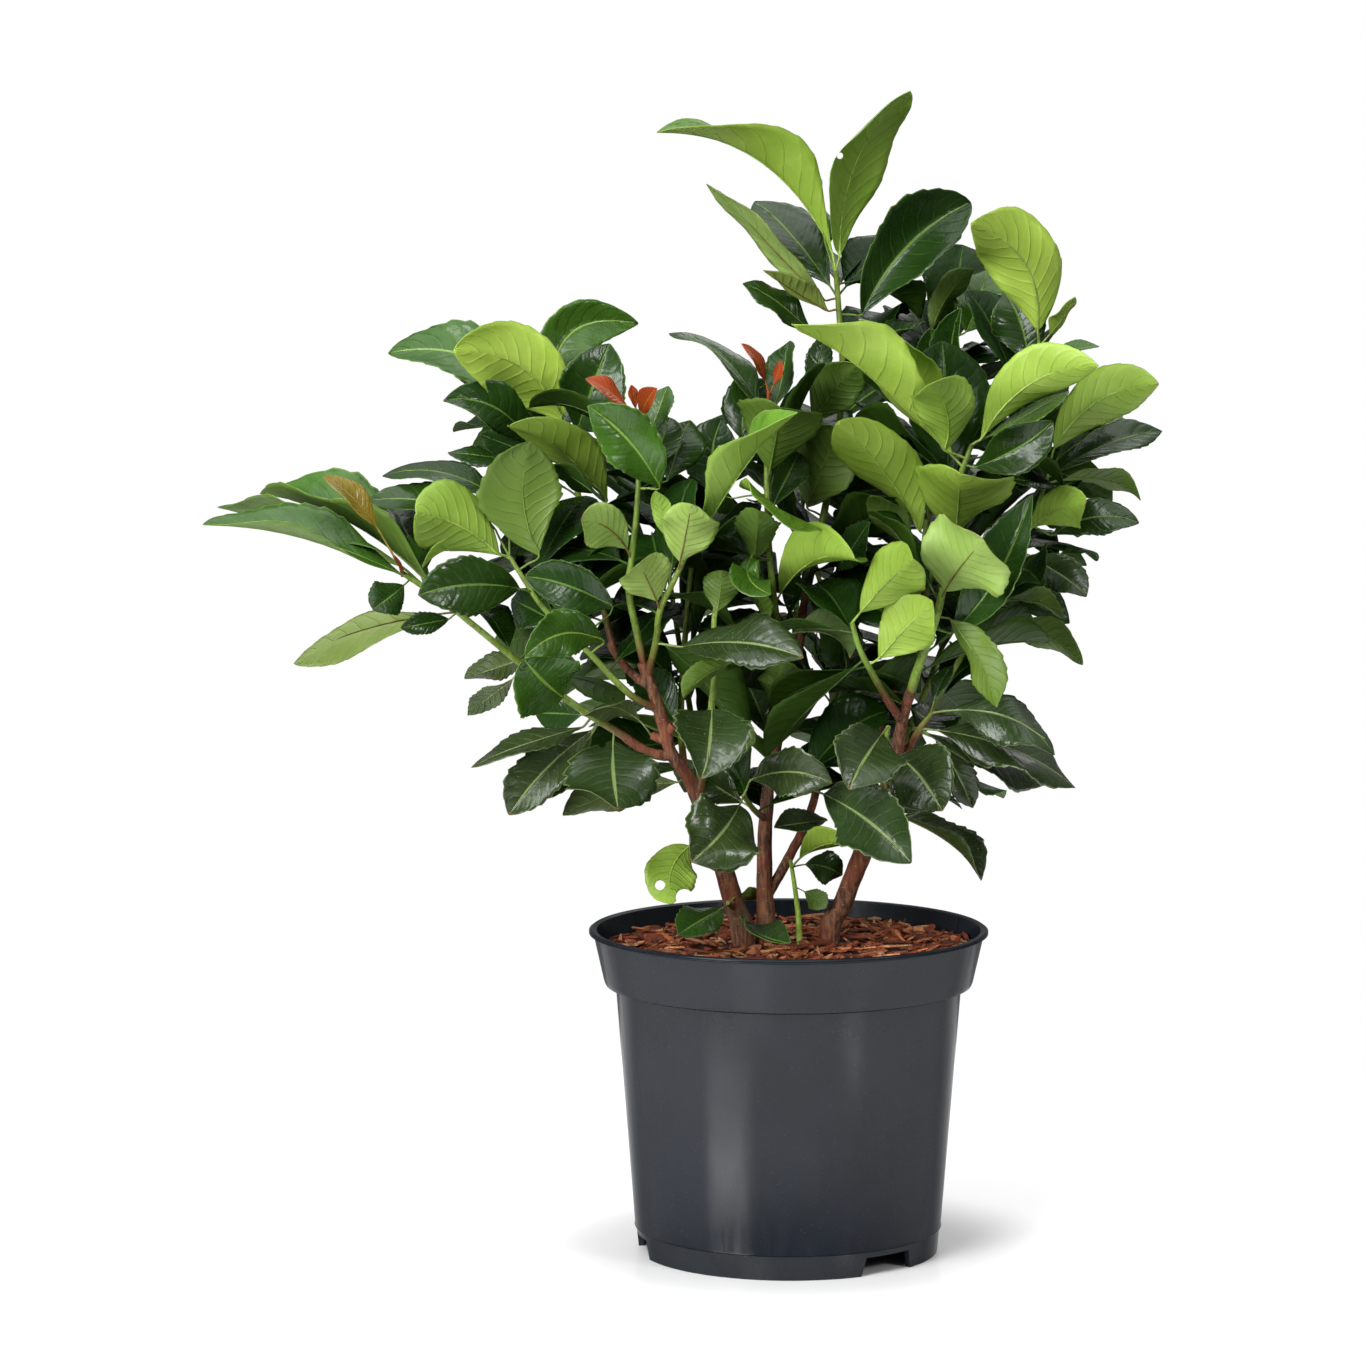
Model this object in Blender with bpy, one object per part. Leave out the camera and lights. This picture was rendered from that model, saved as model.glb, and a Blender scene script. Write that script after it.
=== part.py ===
"""A cherry laurel in a nursery pot: pot, compost, bark mulch, woody stems, leafy shoots and young red leaves.

The origin is the centre of the pot's foot. +Z is up and -Y is the front. Units are metres.
Plant sizes are written in millimetres as they appear from the front, in the plane of the pot's
axis, with a depth: read() takes them to their true place along the line of sight.
"""

import math
import random

import bmesh
import bpy
from mathutils import Vector, noise
from mathutils.bvhtree import BVHTree

MM = 0.001
GAP = 0.3 * MM

# Pot, in metres
POT_HEIGHT = 0.1875
RIM_RADIUS = 0.115
COLLAR_TOP_RADIUS = 0.1124
COLLAR_FOOT_RADIUS = 0.1065
COLLAR_FOOT_Z = 0.1565
BODY_TOP_RADIUS = 0.0996
BODY_FOOT_RADIUS = 0.0885
FOOT_RADIUS = 0.0866
FOOT_BAND_Z = 0.015
WALL = 0.0018
FLOOR_Z = 0.0115
NOTCH_ANGLES = (-50.0, -170.0, 70.0)
NOTCH_WIDTH = 0.032
NOTCH_HEIGHT = 0.0108
DRAIN_HOLES = 6
DRAIN_RADIUS = 0.005
DRAIN_CIRCLE = 0.058
NOTCH_SLANT = 0.0035
NOTCH_REACH = 0.012
CUT_PAST = 0.004  # how far a cutter goes past the face that it opens
LIP = 0.0032
POT_SIDES = 32
CENTRE_FOOT_RADIUS = 0.020

# Filling
COMPOST_TOP = 0.168
MULCH_TOP = 0.1765
MULCH_RELIEF = 0.0020
MULCH_MOUND = 0.003
MULCH_SPREAD = 0.0025  # square metres
MULCH_RINGS = 5
CHIPS = 3
CHIP_SEED = 11
CHIP_CIRCLE = 0.096
CHIP_TO_STEM = 0.018
CHIP_LENGTH = (0.010, 0.020)
CHIP_WIDTH = (0.003, 0.005)
CHIP_DEPTH = 0.0026
STEM_FOOT = 0.190
ROOT_BOTTOM = 0.128
SPROUT_BOTTOM = 0.155
STEM_SIDES = 5
TRUNK_SIDES = 8
BACK_TRIES = 100
BACK_SEED = 100
BACK_PLACES = (0.2, 0.75)  # share of the stem below the first leaf, and share that the leaves take
BACK_TURN = 144  # degrees from one leaf to the next
BACK_LEAN = (0.85, 0.7)  # how far a leaf points away from the front, and how much that varies
REAR_LEAN = (0.3, 1.0)
BACK_RISE = (-0.5, 1.0)
BACK_ROLL = 0.6
BACK_LENGTH = (62 * MM, 100 * MM)
BACK_DROOP = (0.03, 0.12)
REAR_EYE = Vector((0.0, 2.8, 0.63))
LEAST_GAIN = 3

# The eye that the plant's sizes were read from
EYE = Vector((-0.0608, -2.8, 0.6265))

# Leaf blades
WIDTH_SHARE = 0.42
BACK_WIDTH_SHARE = 0.52
RIB_THICKNESS = 1.4 * MM
TIP_THICKNESS = 0.7 * MM
STALK_LENGTH = 9.0 * MM
STALK_WIDTH = 2.2 * MM
FOLD = 0.22
ARCH = 0.06
TOOTH = 0.05
LONG_BLADE = (0.12, 0.38, 0.66, 0.88)
BLADE = (0.17, 0.48, 0.82)
SHORT_BLADE = (0.30, 0.74)
LONG_LEAF = 105 * MM
SHORT_LEAF = 66 * MM
CLEARANCE = 0.6 * MM
RIM_CLEARANCE = 8 * MM
MULCH_CLEARANCE = 4 * MM
HOST_REACH = 12 * MM

# The crown's dense part as seen from the front, in mm: leaves that fill the back stay inside it
CROWN = (
    (-183, 289), (-116, 262), (-61, 258), (-10, 250), (57, 252), (112, 258), (160, 280), (118, 318),
    (120, 348), (165, 352), (175, 385), (200, 438), (208, 480), (160, 524), (146, 590), (105, 598), (50, 600),
    (10, 595), (-36, 612), (-14, 565), (10, 536), (-10, 500), (-61, 478), (-84, 488), (-116, 512),
    (-139, 540), (-194, 530), (-222, 518), (-192, 485), (-228, 450), (-216, 425), (-222, 393),
    (-190, 373), (-183, 337), (-163, 325),
)

COLOURS = {
    "pot": ((0.030, 0.034, 0.042), 0.32),
    "compost": ((0.030, 0.016, 0.010), 0.95),
    "mulch": ((0.190, 0.060, 0.028), 0.90),
    "bark": ((0.120, 0.055, 0.034), 0.85),
    "red": ((0.420, 0.050, 0.014), 0.40),
    "orange": ((0.460, 0.190, 0.020), 0.40),
    "lime": ((0.310, 0.480, 0.080), 0.45),
    "bright": ((0.400, 0.580, 0.110), 0.45),
    "pale": ((0.420, 0.520, 0.170), 0.50),
    "olive": ((0.180, 0.270, 0.050), 0.50),
    "mid": ((0.050, 0.160, 0.025), 0.35),
    "dark": ((0.022, 0.065, 0.018), 0.30),
    "old": ((0.026, 0.058, 0.028), 0.30),
}


def read(x, y, z):
    """The true place of a point seen at x, z in the plane of the pot's axis, at depth y. All in mm."""
    seen = Vector((x * MM, 0.0, z * MM))
    return EYE + (seen - EYE) * ((y * MM - EYE.y) / -EYE.y)


def material(name):
    colour, roughness = COLOURS[name]
    made = bpy.data.materials.get(name)
    if made is None:
        made = bpy.data.materials.new(name)
        made.use_nodes = True
        shader = made.node_tree.nodes["Principled BSDF"]
        shader.inputs["Base Color"].default_value = (*colour, 1.0)
        shader.inputs["Roughness"].default_value = roughness
        shader.inputs["Metallic"].default_value = 0.0
    return made


def add_object(name, points, faces, finish, collection=None):
    mesh = bpy.data.meshes.new(name)
    mesh.from_pydata([tuple(p) for p in points], [], faces)
    mesh.materials.append(material(finish))
    made = bpy.data.objects.new(name, mesh)
    (collection or bpy.context.scene.collection).objects.link(made)
    return made


def apply_modifier(target, modifier):
    bpy.context.view_layer.objects.active = target
    bpy.ops.object.modifier_apply(modifier=modifier.name)


def fuse(name, solids, finish):
    """One body from a list of (points, faces) that overlap."""
    whole = add_object(name, *solids[0], finish)
    if len(solids) == 1:
        return whole
    repeats = bpy.data.collections.new(name + "_repeats")
    bpy.context.scene.collection.children.link(repeats)
    for number, solid in enumerate(solids[1:]):
        add_object(f"{name}_{number}", *solid, finish, repeats)
    union = whole.modifiers.new("union", "BOOLEAN")
    union.operation = "UNION"
    union.operand_type = "COLLECTION"
    union.collection = repeats
    # the default solver leaves one shoot in two bodies, and is slower
    union.solver = "MANIFOLD"
    apply_modifier(whole, union)
    for made in list(repeats.objects):
        bpy.data.objects.remove(made)
    bpy.data.collections.remove(repeats)
    return whole


def cut(target, cutters):
    """Takes each cutter out of the target, then removes the cutter."""
    for cutter in cutters:
        cutter.hide_render = True
        cutter.display_type = "WIRE"
        difference = target.modifiers.new("cut", "BOOLEAN")
        difference.operation = "DIFFERENCE"
        difference.object = cutter
        apply_modifier(target, difference)
        bpy.data.objects.remove(cutter)


# Solids made from rings of points

def ring_faces(rings, sides, mirrored=False):
    """Faces of a closed skin over equal rings of points, capped at both ends."""
    faces = [tuple(reversed(range(sides)))]
    for ring in range(rings - 1):
        low, high = ring * sides, (ring + 1) * sides
        for side in range(sides):
            after = (side + 1) % sides
            if mirrored and side % 2:
                faces.append((low + side, low + after, high + side))
                faces.append((low + after, high + after, high + side))
            else:
                faces.append((low + side, low + after, high + after))
                faces.append((low + side, high + after, high + side))
    top = (rings - 1) * sides
    faces.append(tuple(range(top, top + sides)))
    return faces


def leaf_faces(points):
    """Faces of a leaf: rings of four points, closed at the root and drawn to the tip's single point."""
    rings, tip = len(points) // 4, len(points) - 1
    faces = ring_faces(rings, 4, mirrored=True)[:-1]
    last = tip - 4
    return faces + [(last + side, last + (side + 1) % 4, tip) for side in range(4)]


def across(direction):
    """Two directions square to this one and to each other."""
    helper = Vector((0, 1, 0)) if abs(direction.y) < 0.8 else Vector((1, 0, 0))
    first = direction.cross(helper).normalized()
    return first, direction.cross(first).normalized()


def tube(path, radii, sides, longer=0.0):
    """A round stem along a path, as (points, faces), made longer at both ends on request."""
    points = []
    last = len(path) - 1
    for number, centre in enumerate(path):
        ahead = (path[min(number + 1, last)] - path[max(number - 1, 0)]).normalized()
        first, second = across(ahead)
        if number == 0:
            centre = centre - ahead * longer
        if number == last:
            centre = centre + ahead * longer
        for side in range(sides):
            turn = 2 * math.pi * side / sides
            points.append(centre + (first * math.cos(turn) + second * math.sin(turn)) * radii[number])
    return points, ring_faces(len(path), sides)


# Pot

def inner_radius(z):
    """The pot's inside radius at height z."""
    if z < COLLAR_FOOT_Z:
        low, high = FLOOR_Z + WALL, COLLAR_FOOT_Z
        r_low, r_high = BODY_FOOT_RADIUS - WALL, BODY_TOP_RADIUS - WALL
    else:
        low, high = COLLAR_FOOT_Z, POT_HEIGHT
        r_low, r_high = COLLAR_FOOT_RADIUS - WALL, COLLAR_TOP_RADIUS - WALL
    share = (z - low) / (high - low)
    return r_low + (r_high - r_low) * share


def turned(name, profile, sides, finish):
    """A closed solid turned round the Z axis from a profile of (radius, z), whose ends lie on the axis."""
    mesh = bmesh.new()
    points = [mesh.verts.new((r, 0.0, z)) for r, z in profile]
    edges = [mesh.edges.new(pair) for pair in zip(points, points[1:])]
    bmesh.ops.spin(
        mesh, geom=points + edges, cent=(0, 0, 0), axis=(0, 0, 1),
        angle=2 * math.pi, steps=sides, use_merge=True,
    )
    bmesh.ops.remove_doubles(mesh, verts=mesh.verts, dist=1e-6)
    bmesh.ops.recalc_face_normals(mesh, faces=mesh.faces)
    data = bpy.data.meshes.new(name)
    mesh.to_mesh(data)
    mesh.free()
    data.materials.append(material(finish))
    made = bpy.data.objects.new(name, data)
    bpy.context.scene.collection.objects.link(made)
    return made


def upright_cylinder(name, x, y, low, high, radius, sides=8):
    path = [Vector((x, y, low)), Vector((x, y, high))]
    return add_object(name, *tube(path, [radius / math.cos(math.pi / sides)] * 2, sides), "pot")


def notch_cutter(angle):
    """A wedge under the foot, wider at the bottom, that lets water out."""
    turn = math.radians(angle)
    out = Vector((math.cos(turn), math.sin(turn), 0))
    side = Vector((-out.y, out.x, 0))
    half = NOTCH_WIDTH / 2
    points = []
    for reach in (FOOT_RADIUS - NOTCH_REACH, FOOT_RADIUS + NOTCH_REACH):
        for offset, z in (
            (-half - NOTCH_SLANT, -CUT_PAST), (half + NOTCH_SLANT, -CUT_PAST), (half, NOTCH_HEIGHT),
            (-half, NOTCH_HEIGHT),
        ):
            points.append(out * reach + side * offset + Vector((0, 0, z)))
    faces = [(0, 1, 2, 3), (7, 6, 5, 4), (0, 4, 5, 1), (1, 5, 6, 2), (2, 6, 7, 3), (3, 7, 4, 0)]
    cutter = add_object("notch", points, faces, "pot")
    mesh = bmesh.new()
    mesh.from_mesh(cutter.data)
    bmesh.ops.recalc_face_normals(mesh, faces=mesh.faces)
    mesh.to_mesh(cutter.data)
    mesh.free()
    return cutter


def make_pot():
    lip_z = POT_HEIGHT - LIP
    profile = [
        (0.0, 0.0),
        (CENTRE_FOOT_RADIUS, 0.0),
        (CENTRE_FOOT_RADIUS, FLOOR_Z),
        (FOOT_RADIUS - 2 * WALL, FLOOR_Z),
        (FOOT_RADIUS - 2 * WALL, 0.0),
        (FOOT_RADIUS, 0.0),
        (BODY_FOOT_RADIUS - 0.0006, FOOT_BAND_Z),
        (BODY_FOOT_RADIUS, FOOT_BAND_Z),
        (BODY_TOP_RADIUS, COLLAR_FOOT_Z - WALL),
        (COLLAR_FOOT_RADIUS - 0.0022, COLLAR_FOOT_Z - WALL),
        (COLLAR_FOOT_RADIUS, COLLAR_FOOT_Z + 0.0012),
        (COLLAR_TOP_RADIUS, lip_z),
        (RIM_RADIUS, lip_z + 0.0008),
        (RIM_RADIUS, POT_HEIGHT - 0.0010),
        (RIM_RADIUS - 0.0014, POT_HEIGHT),
        (inner_radius(POT_HEIGHT), POT_HEIGHT - 0.0008),
        (inner_radius(COLLAR_FOOT_Z), COLLAR_FOOT_Z),
        (BODY_TOP_RADIUS - WALL, COLLAR_FOOT_Z),
        (BODY_FOOT_RADIUS - WALL, FLOOR_Z + WALL),
        (0.0, FLOOR_Z + WALL),
    ]
    pot = turned("pot", profile, POT_SIDES, "pot")
    cutters = [notch_cutter(angle) for angle in NOTCH_ANGLES]
    for hole in range(DRAIN_HOLES):
        turn = 2 * math.pi * (hole + 0.5) / DRAIN_HOLES
        x, y = DRAIN_CIRCLE * math.cos(turn), DRAIN_CIRCLE * math.sin(turn)
        low, high = FLOOR_Z - CUT_PAST, FLOOR_Z + WALL + CUT_PAST
        cutters.append(upright_cylinder("drain", x, y, low, high, DRAIN_RADIUS))
    cut(pot, cutters)


# Filling

def make_compost(roots):
    low = FLOOR_Z + WALL + GAP
    step = COLLAR_FOOT_Z + GAP
    profile = [
        (0.0, low),
        (inner_radius(low) - GAP, low),
        (inner_radius(COLLAR_FOOT_Z - WALL) - GAP, step),
        (inner_radius(step) - 3 * GAP, step),
        (inner_radius(COMPOST_TOP) - GAP, COMPOST_TOP),
        (0.0, COMPOST_TOP),
    ]
    compost = turned("compost", profile, POT_SIDES // 2, "compost")
    cut(compost, [
        upright_cylinder("root_hole", x, y, bottom - GAP, COMPOST_TOP + CUT_PAST, radius + GAP)
        for x, y, bottom, radius in roots
    ])


def mulch_height(x, y):
    """The mulch's top: lumpy, and a little higher round the stems."""
    lumps = noise.noise(Vector((x, y, 0.3)) * 60) + 0.7 * noise.noise(Vector((y, x, 5.1)) * 140)
    mound = MULCH_MOUND * math.exp(-(x * x + y * y) / MULCH_SPREAD)
    return MULCH_TOP + mound + MULCH_RELIEF * lumps


def make_mulch(roots):
    low = COMPOST_TOP + GAP
    rings, sides = MULCH_RINGS, POT_SIDES
    top_radius = inner_radius(MULCH_TOP) - 2 * GAP
    points = [Vector((0, 0, low)), Vector((0, 0, mulch_height(0, 0)))]
    faces = []
    for ring in range(rings + 1):
        # the last ring is the foot of the edge
        radius = top_radius * min(ring + 1, rings) / rings
        for side in range(sides):
            turn = 2 * math.pi * (side + 0.5 * (ring % 2) * (ring < rings - 1)) / sides
            x, y = radius * math.cos(turn), radius * math.sin(turn)
            if ring == rings:
                shrink = (inner_radius(low) - 2 * GAP) / top_radius
                points.append(Vector((x * shrink, y * shrink, low)))
            else:
                points.append(Vector((x, y, mulch_height(x, y))))
    for side in range(sides):
        after = (side + 1) % sides
        faces.append((1, 2 + side, 2 + after))
        for ring in range(rings):
            inner, outer = 2 + ring * sides, 2 + (ring + 1) * sides
            faces.append((inner + side, outer + side, outer + after))
            faces.append((inner + side, outer + after, inner + after))
        foot = 2 + rings * sides
        faces.append((0, foot + after, foot + side))
    chips = [(points, faces)]
    draw = random.Random(CHIP_SEED)
    for _ in range(CHIPS):
        radius, turn = CHIP_CIRCLE * math.sqrt(draw.random()), draw.uniform(0, 2 * math.pi)
        x, y = radius * math.cos(turn), radius * math.sin(turn)
        if min(math.hypot(x - rx, y - ry) for rx, ry, _, _ in roots) < CHIP_TO_STEM:
            continue
        chips.append(chip(x, y, mulch_height(x, y) + CHIP_DEPTH / 4, draw))
    mulch = fuse("bark_mulch", chips, "mulch")
    cut(mulch, [
        upright_cylinder("stem_hole", x, y, low - CUT_PAST, STEM_FOOT, radius + GAP)
        for x, y, _, radius in roots
    ])


def chip(x, y, z, draw):
    """A splinter of bark, lying nearly flat and sunk halfway in."""
    length, width = draw.uniform(*CHIP_LENGTH), draw.uniform(*CHIP_WIDTH)
    turn, pitch = draw.uniform(0, math.pi), draw.uniform(-0.18, 0.18)
    along = Vector((math.cos(turn) * math.cos(pitch), math.sin(turn) * math.cos(pitch), math.sin(pitch)))
    side = Vector((-math.sin(turn), math.cos(turn), 0))
    up = along.cross(side)
    points = []
    for reach, share in ((-0.5, 0.7), (0.5, 0.45)):
        for s, u in ((-1, -1), (1, -1), (1, 1), (-1, 1)):
            offset = along * reach * length + side * s * share * width / 2 + up * u * CHIP_DEPTH / 2
            points.append(Vector((x, y, z)) + offset)
    return points, ring_faces(2, 4)


# Wood: each stem is a row of x, depth, z and radius, in mm

WOOD = {
    "trunk_left": [
        [(-27, -8, 185, 6.5), (-31, -10, 200, 6.1), (-36, -12, 218, 5.5), (-42, -14, 238, 5.3),
         (-50, -18, 257, 5.0), (-58, -20, 275, 3.9), (-68, -22, 290, 3.8), (-72, -24, 305, 3.6),
         (-77, -26, 322, 3.4), (-84, -28, 341, 3.2)],
        [(-66, -22, 287, 3.2), (-80, -24, 289, 3.0), (-90, -24, 295, 2.7), (-98, -24, 301, 2.4)],
        [(-80, -27, 328, 2.8), (-88, -18, 333, 2.6), (-96, -8, 341, 2.3), (-103, 0, 352, 2.1)],
        [(-71, -23, 300, 3.0), (-66, -26, 305, 2.8)],
        [(-71, -23, 296, 3.0), (-79, -21, 299, 2.6)],
    ],
    "trunk_centre": [
        [(-13, -2, 183, 5.5), (-14, -2, 220, 4.5), (-13, -2, 255, 3.9), (-10, 0, 285, 3.3),
         (-5, 2, 305, 3.0), (2, 6, 330, 2.8), (5, 8, 345, 2.7), (8, 12, 372, 2.5)],
        [(-14, -2, 203, 3.2), (-7, 0, 215, 3.0), (2, 6, 232, 2.8), (9, 12, 246, 2.6),
         (16, 22, 268, 2.4), (20, 30, 300, 2.2)],
    ],
    "trunk_right": [
        [(25, 5, 183, 6.2), (30, 3, 199, 5.8), (37, 0, 217, 5.4), (45, -4, 237, 6.0),
         (56, -10, 266, 4.9), (62, -18, 290, 3.8), (65, -24, 307, 3.2), (70, -36, 325, 2.9)],
        [(44, -3, 236, 4.2), (45, 8, 270, 3.7), (52, 20, 300, 3.3), (62, 28, 325, 3.0),
         (70, 32, 342, 2.8), (77, 22, 372, 2.2)],
        [(59, -14, 278, 2.9), (72, -14, 296, 2.4), (77, -14, 304, 2.1)],
        [(65, -24, 307, 2.8), (56, -40, 320, 2.3)],
        [(69, 31, 339, 2.5), (81, 43, 372, 2.1)],
        [(69, 31, 339, 2.5), (73, 45, 372, 2.0)],
    ],
}

# Shoots: the node that carries each one, its stem as rows of x, depth and z with its first and last
# radius, how many leaves the back gets, and its leaves. A shoot with no stem is a leaf set on wood.
# A leaf is its base, a point that it passes or None, its tip, the width seen, which face is seen
# (1 the upper, -1 the lower), the depth of its tip and its tone.

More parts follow.
